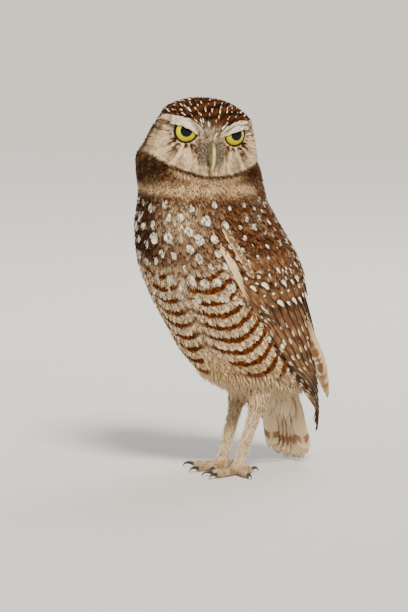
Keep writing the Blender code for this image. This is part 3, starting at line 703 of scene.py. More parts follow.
def spot_spacing(points):
    """Distance between the white spots round each point, or more than 3 cm where there are none."""
    height, _ = body_place(points)
    weights = region_weights(points)
    fixed = {
        "crown": 3.9, "nape": 4.6, "throat": 6.5, "mantle": 8.0, "covert": 6.4, "breast": 7.9, "belly": 7.6,
    }
    gap = sum(weights[k] * v for k, v in fixed.items()) * 1e-3
    none = weights["face"] + weights["brow"] + weights["vent"] + weights["thigh"] + weights["throat"]
    none = none + weights["nape"] * ramp(to_head(points)[..., 1], -0.018, -0.010)
    none = none + ramp(height, 0.116, 0.104) * (weights["breast"] + weights["belly"])
    return np.where(none > 0.45, 1.0, gap + 0.004 * none)


def belly_marks(height, angle, weights, soft, fine):
    """Ground tones of breast, belly, vent and thighs, painted shade on the bird's right side, and the bars
    and their place.
    """
    pale, warm, dark = 0.10 + 0 * height, 0.35 + 0 * height, 0.15 + 0 * height
    off = angle - MIDLINE
    buff = bump(np.hypot((height - 0.160) / 0.015, (np.degrees(angle) - 22) / 19), 1.0)
    pale = pale + 0.55 * buff * (0.8 + 0.5 * fine)
    # Painted shade: the bird's right side above the belly is darker, as the side turned away from the light.
    shaded = ramp(angle, math.radians(8), math.radians(-12)) * ramp(height, 0.120, 0.135)
    pale, dark = pale - 0.08 * shaded, dark + 0.48 * shaded
    barred = ramp(height, 0.141 + 0.004 * soft, 0.127 + 0.004 * soft) * ramp(np.abs(angle), 1.75, 1.5)
    pale = mix(pale, 0.93 + 0.05 * fine - 0.36 * ramp(height, 0.106, 0.126) * (0.8 + 0.6 * soft), barred)
    dark, warm = dark * (1 - barred), mix(warm, 0.36, barred)
    edge = edge_angle(height)
    place = height - 0.0055 * ((np.abs(off) + MIDLINE - 0.5 * edge) / (0.34 * edge)) ** 2
    low_edge = 0.0575 + 0.020 * ramp(np.abs(off), 0.45, 0.05)
    bars = barred * ramp(height, low_edge - 0.001, low_edge + 0.003) * ramp(height, 0.141, 0.132)
    bars = bars * (1 - 0.35 * bump(off, 0.10)) * ramp(np.abs(angle), 1.65, 1.45)
    warm = mix(warm, 0.68, ramp(height, 0.082, 0.060) * barred)
    fluff = np.clip(weights["vent"] + weights["thigh"], 0, 1)
    pale, warm, dark = mix(pale, 0.84, fluff), mix(warm, 0.42, fluff), mix(dark, 0.0, fluff)
    return (pale, warm, dark), bars * (1 - fluff), (place - LOWEST_BAR) / BAR_GAP


def back_marks(tones, weights, soft, fine):
    """The tones, with those of the back and the wing coverts."""
    pale, warm, dark = tones
    back = weights["mantle"] + weights["covert"]
    pale = mix(pale, 0.03 + 0.30 * np.maximum(fine, 0), back)
    return pale, mix(warm, 0.50 + 0.30 * soft, back), mix(dark, 0.32 + 0.30 * fine, back)


def neck_marks(tones, place, height, weights, soft, fine, line):
    """The tones, with those of the throat band, the brown patches beside it, the nape and the painted shadow
    line under the face.
    """
    pale, warm, dark = tones
    x, y, z, side, _ = place
    neck = np.clip(weights["throat"] + weights["nape"], 0, 1)
    off_back = neck * (1 - weights["mantle"] - weights["covert"])
    band = bump(height - 0.1806 - 0.0015 * soft, 0.0038) * weights["throat"] * (1.0 + 0.3 * fine)
    patch = bump(np.hypot((side - 0.0300) / 0.0085, (z + 0.0235) / 0.0085), 1.0)
    patch = patch * neck * ramp(y, -0.010, 0.004)
    chin = bump(side, 0.020) * weights["throat"]
    pale = mix(pale, 0.05 + 0.30 * np.maximum(fine, 0) + (0.28 + 0.4 * fine) * chin, off_back)
    warm = mix(warm, 0.55, off_back)
    behind = weights["nape"] * ramp(y, 0.0, -0.012)
    warm, dark = mix(warm, 0.30, behind), mix(dark, 0.40 + 0.5 * fine, behind)
    ruff = bump(disc_edge(x) - z - 0.0032, 0.0026) * ramp(y, 0.006, 0.014) * ramp(side, 0.026, 0.018) * neck
    pale = np.maximum(pale, 0.74 * ruff)
    pale = np.maximum(pale * (1 - 0.85 * patch), 0.97 * band) * (1 - line)
    return pale, warm, mix(dark, 0.95, np.clip(0.8 * patch + line, 0, 1))


def head_marks(tones, place, weights, fine, line):
    """The tones, with those of the crown, the streaked face, the white brow and the painted shadow line under
    the face.
    """
    pale, warm, dark = tones
    x, y, z, side, _ = place
    crown, face, brow = weights["crown"], weights["face"], weights["brow"]
    pale, warm, dark = mix(pale, 0.0, crown), mix(warm, 0.20, crown), mix(dark, 0.60 + 0.6 * fine, crown)
    from_eye = np.hypot(side - 0.0150, z)
    rays = np.stack((np.arctan2(z, side - 0.0150) * 0.010, from_eye * 0.25, 0 * x), -1)
    streak = 0.5 + 0.5 * smooth_noise(rays, 0.0020, 9)
    ear = bump(from_eye - 0.0115, 0.0050) * ramp(side, 0.016, 0.022)
    rim = ramp(side, 0.0270, 0.0310)
    back_of_face = ramp(y, 0.006, -0.004)
    face_pale = 0.95 - ramp(streak, 0.36, 0.78) * (0.52 + 0.45 * ear + 0.4 * back_of_face) + 0.15 * rim
    lores = bump(np.hypot((side - 0.0065) / 0.0040, (z + 0.0110) / 0.0055), 1.0)
    under = bump(from_eye - 0.0085, 0.0022) * ramp(z, 0.002, -0.003)
    face_pale = face_pale - 0.80 * lores - (0.30 + 0.4 * streak) * under
    pale = mix(pale, np.clip(face_pale, 0, 1), face * (1 - line))
    warm, dark = mix(warm, 0.32, face), mix(dark, np.maximum(0.9 * lores, 0.38 + 0.42 * under), face)
    dark = np.maximum(dark, line)
    pale, warm, dark = mix(pale, 1.0, brow), mix(warm, 0.0, brow), mix(dark, 0.0, brow)
    forehead = bump(side, 0.0055) * ramp(z, 0.010, 0.002) * ramp(y, 0.010, 0.020) * crown
    return np.maximum(pale, 0.55 * forehead * (0.6 + 0.6 * fine)), warm, dark


def markings(points):
    """The plumage's colours at each point: tone (pale, warm, dark), and bars (strength, place)."""
    height, angle = body_place(points)
    place = x, y, z, side, _ = head_place(points)
    weights = region_weights(points)
    soft, fine = smooth_noise(points, 0.020, 3), smooth_noise(points, 0.007, 4)
    # Painted shadow: a dark line under the face's lower edge, where the face overhangs the throat.
    line = bump(disc_edge(x) - z - 0.0004, 0.0010) * ramp(y, 0.006, 0.014) * ramp(side, 0.030, 0.018)
    tones, bars, beat = belly_marks(height, angle, weights, soft, fine)
    tones = back_marks(tones, weights, soft, fine)
    tones = neck_marks(tones, place, height, weights, soft, fine, line)
    tones = head_marks(tones, place, weights, fine, line)
    return np.clip(np.stack(tones, -1), 0, 1), np.clip(bars, 0, 1), beat


def shell_faces(rows, columns):
    """Quads of a feather's upper and under side. Its inner points lie twice, the under ones last."""
    grid = np.arange((rows + 1) * (columns + 1)).reshape(rows + 1, columns + 1)
    under = grid.copy()
    under[1:-1, 1:-1] = grid.size + np.arange((rows - 1) * (columns - 1)).reshape(rows - 1, columns - 1)

    def quads(g, order):
        corners = (g[:-1, :-1], g[1:, :-1], g[1:, 1:], g[:-1, 1:])
        return np.stack([corners[k] for k in order], -1).reshape(-1, 4)

    return np.concatenate((quads(grid, (0, 1, 2, 3)), quads(under, (0, 3, 2, 1))))


class Coat:
    """Gathers feathers as arrays and turns them into closed meshes."""

    def __init__(self, name):
        self.name, self.parts = name, []

    def add(self, path, normals, half, profile, level, patch, draw, columns, rows, *, camber, fray, colours,
            shift, thick=0.00010, round_tip=0.3, tilt=0.0):
        """Adds one feather for each path.

        half is each feather's half width and profile its width along it as a share of that. level
        is its height over the path, patch its place on the flattened skin, and colours the function
        that gives its markings from points and shares, read up to about shift from the point itself.
        """
        count = len(path)
        u = np.linspace(0, 1, rows + 1)[None, :, None]
        v = np.linspace(-1, 1, columns + 1)[None, None, :]
        jag = draw.uniform(-1, 0, (count, 1, columns + 1)) * 0.16 * fray
        reach = u * (1 - round_tip * v**2 * u**3 + jag * u**4)
        spine = along_path(path, reach)
        facing = unit(along_path(normals, reach))
        way = unit(along_path(np.gradient(path, axis=1), reach))
        across = np.cross(facing, way)
        width = np.interp(u[0, :, 0], np.linspace(0, 1, len(profile)), profile)[None, :, None]
        width = width * half[:, None, None]
        ragged = draw.uniform(-1, 0.6, (count, rows + 1, columns + 1)) * 0.14 * fray
        ragged = 1 + ragged * (np.abs(v) > 0.99)
        lift = level(u) if callable(level) else level
        rise = lift - camber * v**2 * (0.3 + 0.7 * u) - tilt * v
        top = spine + across * (width * v * ragged)[..., None] + facing * (rise + 0 * v)[..., None]
        inner = (top - facing * thick)[:, 1:-1, 1:-1]
        faces = shell_faces(rows, columns)
        outer_points = (rows + 1) * (columns + 1)
        each = outer_points + (rows - 1) * (columns - 1)

        def with_inner(values):
            body = values.reshape(count, outer_points, -1)
            core = values[:, 1:-1, 1:-1].reshape(count, -1, values.shape[-1])
            return np.concatenate((body, core), 1).reshape(count * each, -1)

        points = np.concatenate((top.reshape(count, -1, 3), inner.reshape(count, -1, 3)), 1)
        shares = np.broadcast_arrays(u + 0 * reach, v + 0 * reach)
        chance = draw.random((count, 1, 1)) + 0 * reach
        offset = draw.normal(0, shift, (count, 1, 1, 3))
        tone, bars, place, spot = colours(spine + across * (width * v)[..., None] + offset, *shares, chance)
        feather = np.stack((shares[0], shares[1], chance), -1)
        mark = np.stack((spot, bars, place), -1)
        size = TUFT_PATCH if patch.shape[1] == 2 else patch[:, 2][:, None, None]
        flat = patch[:, None, None, :2] + np.stack((shares[1] * 0.5 * size, (shares[0] - 0.5) * size), -1)
        self.parts.append({
            "points": points.reshape(-1, 3),
            "faces": (faces[None] + (np.arange(count) * each)[:, None, None]).reshape(-1, 4),
            "each": (each, len(faces)),
            "count": count,
            "values": [with_inner(a) for a in (feather, tone, mark)],
            "flat": with_inner(flat),
        })

    def pieces(self):
        """Objects of at most PIECE_LIMIT triangles that hold every feather added."""
        groups, room = [[]], PIECE_LIMIT
        for part in self.parts:
            start = 0
            while start < part["count"]:
                fits = min(room // (2 * part["each"][1]), part["count"] - start)
                if fits <= 0:
                    groups.append([])
                    room = PIECE_LIMIT
                    continue
                groups[-1].append((part, start, start + fits))
                room -= fits * 2 * part["each"][1]
                start += fits
        made = []
        for k, group in enumerate(groups):
            name = self.name if len(groups) == 1 else f"{self.name}_{k + 1}"
            made.append(self.piece(name, group))
        return made

    def piece(self, name, group):
        points, faces, flat, values, start = [], [], [], [[], [], []], 0
        for part, first, last in group:
            each, per = part["each"]
            cut = slice(first * each, last * each)
            points.append(part["points"][cut])
            faces.append(part["faces"][first * per:last * per] - first * each + start)
            flat.append(part["flat"][cut])
            for k in range(3):
                values[k].append(part["values"][k][cut])
            start += (last - first) * each
        mesh = mesh_of(name, np.concatenate(points), np.concatenate(faces))
        for attribute, rows in zip(("feather", "tone", "mark"), values):
            store(mesh, attribute, np.concatenate(rows))
        flatten(mesh, np.concatenate(flat))
        return new_object(name, smoothed(mesh))


def store(mesh, name, values):
    """Keeps a vector for each point of the mesh under that name."""
    layer = mesh.attributes.new(name, "FLOAT_VECTOR", "POINT")
    layer.data.foreach_set("vector", np.asarray(values, np.float32).ravel())


def flatten(mesh, places):
    """Gives the mesh the map OFBake from a flat place for each of its points."""
    layer = mesh.uv_layers.new(name="OFBake")
    layer.data.foreach_set("uv", np.asarray(places, np.float32)[corners_of(mesh)].ravel())


def unwrap(points):
    """A flat place for each point of the skin: the body as a strip, the head and the legs as discs."""
    height, angle = body_place(points)
    strip = np.stack((0.5 + 0.485 * angle / math.pi, 0.02 + 0.60 * (height - 0.040) / 0.150), -1)
    head = to_head(points)
    around = np.arctan2(head[..., 0], head[..., 1])
    away = np.arccos(np.clip(head[..., 2] / (np.linalg.norm(head, axis=-1) + 1e-9), -1, 1)) / 2.6
    disc = np.stack((0.20 + 0.17 * away * np.sin(around), 0.82 + 0.17 * away * np.cos(around)), -1)
    low = np.stack((0.72 + 3.0 * points[..., 0] + 1.2 * points[..., 2], 0.78 + 3.0 * points[..., 1]), -1)
    found = np.where((height > 0.187)[..., None], disc, strip)
    return np.where((height < 0.047)[..., None], low, found)


def body_colours(points, u, v, chance):
    tone, bars, place = markings(points)
    return tone, bars, place - 0.10 * v**2 + 0.06 * (chance - 0.5), spots()(points)


class Wire:
    """A socket or a number in a material, on which arithmetic adds Math nodes."""

    def __init__(self, paint, value):
        self.paint, self.value = paint, value

    def of(self, operation, *others):
        return self.paint.node("ShaderNodeMath", {"operation": operation}, self, *others)

    def __add__(self, other):
        return self.of("ADD", other)

    __radd__ = __add__

    def __sub__(self, other):
        return self.of("SUBTRACT", other)

    def __rsub__(self, other):
        return self.paint.node("ShaderNodeMath", {"operation": "SUBTRACT"}, other, self)

    def __mul__(self, other):
        return self.of("MULTIPLY", other)

    __rmul__ = __mul__

    def __pow__(self, other):
        return self.of("POWER", other)

    def __neg__(self):
        return self.of("MULTIPLY", -1.0)

    def cosine(self):
        return self.of("COSINE")

    def size(self):
        return self.of("ABSOLUTE")

    def most(self, other):
        return self.of("MAXIMUM", other)

    def step(self, start, end):
        """0 at start, 1 at end and an eased step between them."""
        settings = {"interpolation_type": "SMOOTHSTEP"}
        if start > end:
            return 1 - self.paint.node("ShaderNodeMapRange", settings, self, end, start)
        return self.paint.node("ShaderNodeMapRange", settings, self, start, end)


def connect(tree, socket, value):
    """Gives a socket its value, or a link from another node."""
    if isinstance(value, Wire):
        value = value.value
    if isinstance(value, bpy.types.NodeSocket):
        tree.links.new(value, socket)
    else:
        socket.default_value = value


def add_node(tree, kind, settings, values, named):
    """A new node, with its settings and then the values or links of its sockets, in order or by name."""
    made = tree.nodes.new(kind)
    for key, value in settings.items():
        setattr(made, key, value)
    for socket, value in zip([s for s in made.inputs if s.enabled], values):
        connect(tree, socket, value)
    for key, value in named.items():
        connect(tree, made.inputs[key.replace("_", " ")], value)
    return made


class Paint:
    """A procedural material round one Principled shader."""

    def __init__(self, name, **fixed):
        self.material = bpy.data.materials.new(name)
        self.material.use_nodes = True
        self.tree = self.material.node_tree
        self.shader = self.tree.nodes["Principled BSDF"]
        for key, value in fixed.items():
            self.shader.inputs[key.replace("_", " ")].default_value = value

    def node(self, kind, settings, *values, out=0, **named):
        made = add_node(self.tree, kind, settings, values, named)
        outputs = [s for s in made.outputs if s.enabled]
        return Wire(self, outputs[out] if isinstance(out, int) else made.outputs[out])

    def set(self, name, value):
        connect(self.tree, self.shader.inputs[name], value)

    def place(self):
        return self.node("ShaderNodeTexCoord", {}, out="Object")

    def attribute(self, name):
        return self.node("ShaderNodeAttribute", {"attribute_name": name}, out="Vector")

    def parts(self, vector):
        made = self.node("ShaderNodeSeparateXYZ", {}, vector)
        outputs = made.value.node.outputs
        return [Wire(self, outputs[k]) for k in range(3)]

    def vector(self, x, y, z):
        return self.node("ShaderNodeCombineXYZ", {}, x, y, z)

    def mixed(self, first, second, share, blend="MIX"):
        settings = {"data_type": "RGBA", "blend_type": blend}
        return self.node("ShaderNodeMix", settings, share, self.colour(first), self.colour(second))

    def shaded(self, tint, brightness):
        """The tint made darker or lighter by a brightness that varies."""
        return self.mixed(tint, self.vector(brightness, brightness, brightness), 1.0, "MULTIPLY")

    def colour(self, value):
        return (*value, 1.0) if isinstance(value, (tuple, Color)) else value

    def noise(self, vector, scale, detail=2.0, rough=0.5):
        named = {"Vector": vector, "Scale": scale, "Detail": detail, "Roughness": rough}
        return self.node("ShaderNodeTexNoise", {}, out="Fac", **named)

    def bump(self, height, strength, distance):
        named = {"Height": height, "Strength": strength, "Distance": distance}
        return self.node("ShaderNodeBump", {}, out="Normal", **named)


def srgb(red, green, blue):
    """A colour given as 0 to 255 on a screen, as the renderer needs it."""
    return tuple(((c / 255 + 0.055) / 1.055) ** 2.4 if c > 10 else c / 3294 for c in (red, green, blue))


def colours():
    return bpy.context.scene.owl_colours


def plumage(name, barbs=26.0, grain=1.0):
    """Feather: ground tones, bars, white spots, painted shade at the root, and fine barbs on either side of a
    shaft.
    """
    at = colours()
    paint = Paint(name, Specular_IOR_Level=0.08)
    u, v, chance = paint.parts(paint.attribute("feather"))
    pale, warm, dark = paint.parts(paint.attribute("tone"))
    spot, bars, place = paint.parts(paint.attribute("mark"))
    slant = u * 3.0 - v.size() * 1.6
    streak = paint.noise(paint.vector(slant * barbs * 0.4, v * 1.5, chance * 91.0), 1.0, 3.0, 0.6)
    blotch = paint.noise(paint.place(), 420.0, 2.0)
    flaw = (streak - 0.5) * 0.55 + (blotch - 0.5) * 0.35
    ground = paint.mixed(paint.mixed(at.brown, at.rufous, warm), at.umber, dark)
    cream = paint.mixed(at.white, at.buff, warm)
    ground = paint.mixed(ground, cream, (pale + flaw * 0.45 * (1 - (pale * 2 - 1).size())).most(0.0))
    wave = (place * math.tau + flaw * 1.3).cosine()
    dark_bar = wave.step(0.12, 0.52) * bars.most(0.0)
    pale_bar = wave.step(0.45, 0.75) * (-bars).most(0.0)
    ground = paint.mixed(ground, paint.mixed(at.bar, at.umber, chance * 0.35), dark_bar)
    ground = paint.mixed(ground, paint.mixed(at.buff, at.spot, 0.7), pale_bar)
    white = (spot + flaw * 0.32).step(1.08, 0.84)
    edged = (spot + flaw * 0.3).step(1.9, 1.1) * 0.55
    ground = paint.mixed(ground, at.umber, edged * (1 - pale) * (1 - white))
    ground = paint.mixed(ground, at.spot, white)
    ground = paint.shaded(ground, 0.80 + 0.40 * streak + (chance - 0.5) * 0.16)
    # Painted shade: each feather darkens towards its root, where the feathers lying over it would shade it.
    paint.set("Base Color", paint.shaded(ground, u.step(0.0, 0.35) * 0.45 + 0.55))
    ridges = paint.noise(paint.vector(slant * barbs, v * 2.0, chance * 57.0), 1.0, 2.0, 0.7)
    shaft = v.size().step(0.10, 0.0) * 0.6
    paint.set("Normal", paint.bump(ridges * grain + shaft, 0.55, 0.0004))
    paint.set("Roughness", 0.72 + streak * 0.2)
    return paint.material


def put_on(obj, material, nodes=()):
    """Gives a finished piece its material, body and slot, and hides the CAD nodes that it stands for."""
    obj.data.materials.clear()
    obj.data.materials.append(material)
    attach(obj, "root")
    if nodes:
        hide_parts(*nodes)
    return obj


# Widths along a feather as shares of its widest place
PLUME = (0.45, 0.85, 1.0, 0.98, 0.80, 0.45)
TUFT = (0.9, 1.0, 0.75, 0.25)
QUILL = (0.55, 0.9, 1.0, 1.0, 0.98, 0.9, 0.72, 0.35)


def feather_coat(name, roots, facing, sizes, draw, columns, rows, profile, **how):
    """A coat of one kind of feather on those roots."""
    lengths = sizes[:, 1] * draw.uniform(0.85, 1.12, len(roots))
    half = sizes[:, 2] * draw.uniform(0.85, 1.1, len(roots))
    path, normals = walk(roots, facing, lengths, rows, draw)
    depth = coat_depth(roots) + 0.0003
    tip = sizes[:, 3] + draw.uniform(-0.0003, 0.0004, len(roots)) * np.minimum(1, sizes[:, 0] / 0.003)

    def level(u):
        return (-depth)[:, None, None] * (1 - ease(u * 1.15)) + tip[:, None, None] * ease(u * 1.15)

    coat = Coat(name)
    coat.add(path, normals, half, profile, level, unwrap(roots), draw, columns, rows, **how)
    return coat


# name, least and most half width, columns, rows, profile and the feather's other settings
COAT_KINDS = (
    ("face_and_thigh_tufts", 0.0, 0.0009, 2, 3, TUFT, {"thick": 0.00012, "camber": 0.00008, "fray": 0.3}),
    ("crown_and_throat_feathers", 0.0009, 0.0019, 4, 4, PLUME, {"camber": 0.00025, "fray": 0.8}),
    ("body_feathers", 0.0019, 1.0, 8, 6, PLUME, {"camber": 0.0005, "fray": 0.4, "round_tip": 0.42}),
)


def coats():
    """The coats of small feathers on the head and body, one for each kind of feather."""
    draw = np.random.default_rng(11)
    roots, facing = scatter(1.0, draw)
    keep = takes_coat(roots)
    roots, facing = roots[keep], facing[keep]
    sizes = region_sizes(roots)
    made = []
    for name, least, most, columns, rows, profile, how in COAT_KINDS:
        fits = (sizes[:, 2] >= least) & (sizes[:, 2] < most)
        made.append(feather_coat(name, roots[fits], facing[fits], sizes[fits], draw, columns, rows, profile,
                                 colours=body_colours, shift=0.0002, **how))
    return made


def takes_coat(points):
    """False over an eye, under the bill and under the folded wings' own feathers."""
    head = to_head(points)
    keep = np.ones(len(points), bool)
    for side in (1, -1):
        away = head - eye_centre(side) - eye_axis(side) * 0.0045
        lateral = away - eye_axis(side) * (away @ eye_axis(side))[:, None]
        keep &= ~((np.linalg.norm(lateral, axis=1) < LID_RADIUS + 0.0003) & (head[:, 1] > 0.015))
    bill = (np.abs(head[:, 0]) < 0.0032) & (head[:, 2] > -0.0200) & (head[:, 2] < -0.0062) & (head[:, 1] > 0)
    return keep & ~bill & (in_wing(points) * (points[:, 2] < WING_COAT_TOP) < 0.5)


def fringe_coat(draw):
    """Long tufts that hang from the thighs over the tops of the shanks, and from the belly between."""
    surface, normals, _, _ = outline()
    coat = Coat("thigh_fringe")
    share = np.linspace(0, 1, 5)[None, :, None]

    def hang(index, path, facing, half):
        rise = draw.uniform(0.0001, 0.0007, len(index))[:, None, None]
        coat.add(path, facing, draw.uniform(0.8, 1.15, len(index)) * half, TUFT,
                 lambda u: -0.0007 * (1 - ease(u * 1.4)) + rise * ease(u), unwrap(path[:, 0]), draw, 2, 4,
                 thick=0.00010, camber=0.00008, fray=0.4, colours=body_colours, shift=0.0002)

    def thinned(near, spacing):
        index = draw.permutation(np.flatnonzero(near))
        return index[spread(surface[index], np.full(len(index), spacing))]

    for side in ("left", "right"):
        shank = node_shape(f"shank_{side}")[0]
        middle = shank[:, 2].mean()
        top, low = shank[shank[:, 2] > middle].mean(0), shank[shank[:, 2] <= middle].mean(0)
        axis = unit(low - top)
        top = top + axis * (top[2] - 0.0425) / -axis[2]
        away = surface - top
        along = away @ axis
        lateral = away - axis * along[:, None]
        radius = np.linalg.norm(lateral, axis=1)
        near_top = (radius < 0.0100) & (along < 0.004) & (along > -0.010) & (surface[:, 2] < 0.057)
        index = thinned(near_top, 0.00095)
        out = unit(lateral[index])[:, None]
        end = np.minimum(draw.uniform(0.0020, 0.0090, len(index)), along[index] + 0.011)
        place = mix(along[index][:, None, None], end[:, None, None], share)
        near = radius[index][:, None, None]
        width = mix(near, np.minimum(near, 0.0040), ease(share * 1.2))
        swing = draw.normal(0, 0.0007, (len(index), 1, 3)) * share
        path = top + axis * place + out * width + swing
        facing = unit(out + 0.3 * normals[index][:, None] + 0 * path)
        hang(index, path, facing, 0.00055)
    under = (normals[:, 2] < -0.10) & (surface[:, 2] < 0.064) & (np.abs(surface[:, 0]) < 0.030)
    index = thinned(under & (surface[:, 1] < 0.040), 0.0016)
    way = lie(surface[index], normals[index]) * 0.8 + (0, 0, -0.7)
    way = unit(way + draw.normal(0, 0.14, way.shape))
    reach = draw.uniform(0.0045, 0.0080, len(index))[:, None, None]
    path = surface[index][:, None] + way[:, None] * reach * share
    hang(index, path, np.broadcast_to(normals[index][:, None], path.shape), 0.0007)
    return coat


def down_coat(draw):
    """Short loose barbs over the feathers, which break up their edges."""
    roots, facing = scatter(0.36, draw, 4)
    sizes = region_sizes(roots)
    big = (sizes[:, 2] > 0.0012) & takes_coat(roots)
    roots, facing, sizes = roots[big], facing[big], sizes[big]
    lengths = np.minimum(sizes[:, 1] * 0.5, 0.0050) * draw.uniform(0.7, 1.2, len(roots))
    path, normals = walk(roots, facing, lengths, 3, draw, 0.25)
    tip = sizes[:, 3] + draw.uniform(0.0000, 0.0007, len(roots))

    def level(u):
        return -0.0006 * (1 - ease(u)) + tip[:, None, None] * ease(u)

    coat = Coat("loose_barbs")
    half = draw.uniform(0.00022, 0.00042, len(roots))
    coat.add(path, normals, half, TUFT, level, unwrap(roots), draw, 2, 3, thick=0.00008,
             camber=0.00005, colours=body_colours, fray=0.2, shift=0.0003)
    return coat


# Tiers of the folded left wing, as in the solids but with more feathers, with sizes in mm and angles
# in degrees. A pair is for a tier's front feather and its rear one. Sag lowers the tips of the middle
# feathers, and bow is the power by which a feather swings round to the rear.
Tier = namedtuple("Tier", "name count half root_height root_angle tip_height tip_angle "
                          "root_level tip_level tilt sag bow")
WING_TIERS = (
    Tier("primary", 9, 4.6, (112, 122), (63, 84), (41, 34), (96, 150),
         (-6.0, -4.6), (-3.4, -4.1), 1.1, 18.4, 1.5),
    Tier("secondary", 12, 6.2, (121, 128), (64, 152), (46, 60), (101, 163),
         (-4.2, -4.2), (-1.3, -1.3), 0.8, 4.0, 1.3),
    Tier("primary_covert", 6, 3.2, (124, 124), (56, 66), (88, 96), (62, 74),
         (-3.6, -3.6), (-2.2, -2.0), 0.6, 0.0, 1.2),
    Tier("greater_covert", 12, 5.4, (129, 136), (61, 156), (103, 109), (71, 161),
         (-3.4, -3.4), (-0.7, -0.7), 0.6, 0.0, 1.2),
    Tier("alula", 4, 3.0, (141, 137), (52, 58), (94, 104), (59, 69),
         (-1.6, -1.6), (-0.1, -0.4), 0.5, 0.0, 1.2),
    Tier("median_covert", 11, 5.0, (140, 147), (60, 158), (116, 122), (67, 161),
         (-2.6, -2.6), (-0.2, -0.2), 0.5, 0.0, 1.2),
    Tier("lesser_covert", 12, 4.4, (148, 154), (60, 158), (126, 131), (66, 160),
         (-2.2, -2.2), (0.0, 0.0), 0.4, 0.0, 1.2),
    Tier("marginal", 8, 2.5, (136, 161), (62.5, 56.5), (127, 152), (65.0, 59.0),
         (-1.0, -1.0), (0.5, 0.4), 0.3, 0.0, 1.2),
    Tier("edge", 11, 0.75, (161, 149), (45.5, 50), (108, 132), (56.5, 57.0),
         (-0.7, -0.7), (0.6, 0.4), 0.2, 0.0, 1.0),
    Tier("tertial", 3, 2.4, (92, 98), (112, 117), (56, 42), (118, 121),
         (-3.5, -3.5), (1.0, 2.2), -2.8, 0.0, 1.0),
)
FLIGHT_TIERS = ("primary", "secondary", "edge", "tertial")
TAIL_PAIRS, UPPER_COVERTS, UNDER_COVERTS = 6, 16, 44


def wing_colours(tier, side):
    """The markings of a wing tier's feathers, as a function of points and shares."""
    def found(points, u, v, chance):
        w = v * SIGN[side]
        fine = smooth_noise(points, 0.006, 14)
        other = (chance * 7.3) % 1.0
        pale = 0.06 + 0.22 * np.maximum(fine, 0)
        tone = np.stack((pale, 0.50 + 0.4 * fine, 0.34 + 0.4 * (chance - 0.5) - 0.2 * fine), -1)
        spot = np.full(u.shape, 9.0)
        bars, place = 0 * u, u * 5.0
        if tier == "primary":
            bars = -ramp(w, -0.70, -0.84) * ramp(u, 0.12, 0.2) * ramp(u, 0.97, 0.92)
            place = u * 10.0 + 0.8 * chance + 0.25 * w
            tone[..., 2] += 0.52
        elif tier == "secondary":
            bars = -ramp(w, -0.66, -0.82) * ramp(u, 0.3, 0.4) * 0.8
            place = u * 6.5 + 0.9 * other + 0.25 * w
            tone[..., 2] += 0.06 + 0.32 * ramp(u, 0.45, 0.75)
            spot = np.hypot((u - 0.40 - 0.12 * other) / 0.034, (w + 0.50) / 0.30) * (1.0 + 1.6 * chance)
            second = np.hypot((u - 0.24 - 0.14 * chance) / 0.036, (w + 0.15) / 0.32) * (0.75 + 1.5 * other)
            spot = np.minimum(spot, second)
        elif tier in ("greater_covert", "median_covert"):
            spot = np.hypot((u - 0.80 - 0.06 * other) / 0.125, (w + 0.40) / 0.46)
            second = np.hypot((u - 0.50) / 0.09, (w + 0.50) / 0.36) * (0.9 + 2.4 * other)
            spot = np.minimum(spot * (0.62 + 1.9 * chance**1.6), second)
        elif tier == "lesser_covert":
            spot = np.hypot((u - 0.82) / 0.09, (w + 0.25) / 0.30) * (0.8 + 1.2 * chance)
        elif tier == "marginal":
            rim = np.maximum(ramp(np.abs(v), 0.35, 0.80), ramp(u, 0.80, 0.95))
            tone[..., 0] = 0.12 + 0.84 * rim * (0.75 + 0.35 * fine)
            tone[..., 1] = 0.35
        elif tier == "primary_covert":
            bars, place = -0.9 * ramp(w, -0.1, -0.4), u * 4 + chance
            tone[..., 2] += 0.25
        elif tier == "edge":
            tone[..., 0] = 0.94 - 0.45 * ramp(w, 0.3, 0.9) - 0.25 * ramp(chance, 0.3, 0.9) * ramp(u, 0.2, 0.6)
            tone[..., 1], tone[..., 2] = 0.45, 0.0
        elif tier == "tertial":
            tone[..., 0] = 0.12 + 0.75 * ramp(np.abs(w), 0.35, 0.85) + 0.35 * ramp(u, 0.80, 0.95)
            bars = -0.7 * ramp(np.abs(w), 0.0, 0.4) * ramp(u, 0.3, 0.5)
        return tone, bars, place, spot
    return found


def tier_paths(side, tier, draw, steps):
    """Paths and normals of a wing tier's feathers on that side of the body."""
    share = np.linspace(0, 1, tier.count)[:, None]
    along = np.linspace(0, 1, steps + 1)[None, :]
    hang = tier.sag * 4 * share * (1 - share)
    tips = mix(*tier.tip_height, share) - hang + draw.uniform(-1.2, 1.2, (tier.count, 1))
    turn = draw.uniform(-1.0, 1.0, (tier.count, 1))
    height = mix(mix(*tier.root_height, share), tips, along) * 1e-3
    tip_angle = mix(*tier.tip_angle, share) + turn
    angle = np.radians(mix(mix(*tier.root_angle, share), tip_angle, along**tier.bow))
    level = mix(mix(*tier.root_level, share), mix(*tier.tip_level, share), ease(along * 1.6)) * 1e-3
    points = on_body_raw(height, angle, level)
    step = 1e-4
    rise = on_body_raw(height + step, angle) - on_body_raw(height - step, angle)
    around = on_body_raw(height, angle + 0.002) - on_body_raw(height, angle - 0.002)
    mirror = (SIGN[side], 1, 1)
    return points * mirror + OFFSET, unit(np.cross(around, rise)) * mirror


def atlas(index, total):
    """Places for the big feathers on a square map, each with the size of its own patch."""
    cells = math.ceil(math.sqrt(total))
    column, row = index % cells, index // cells
    return np.stack(((column + 0.5) / cells, (row + 0.5) / cells, np.full(len(index), 0.9 / cells)), -1)


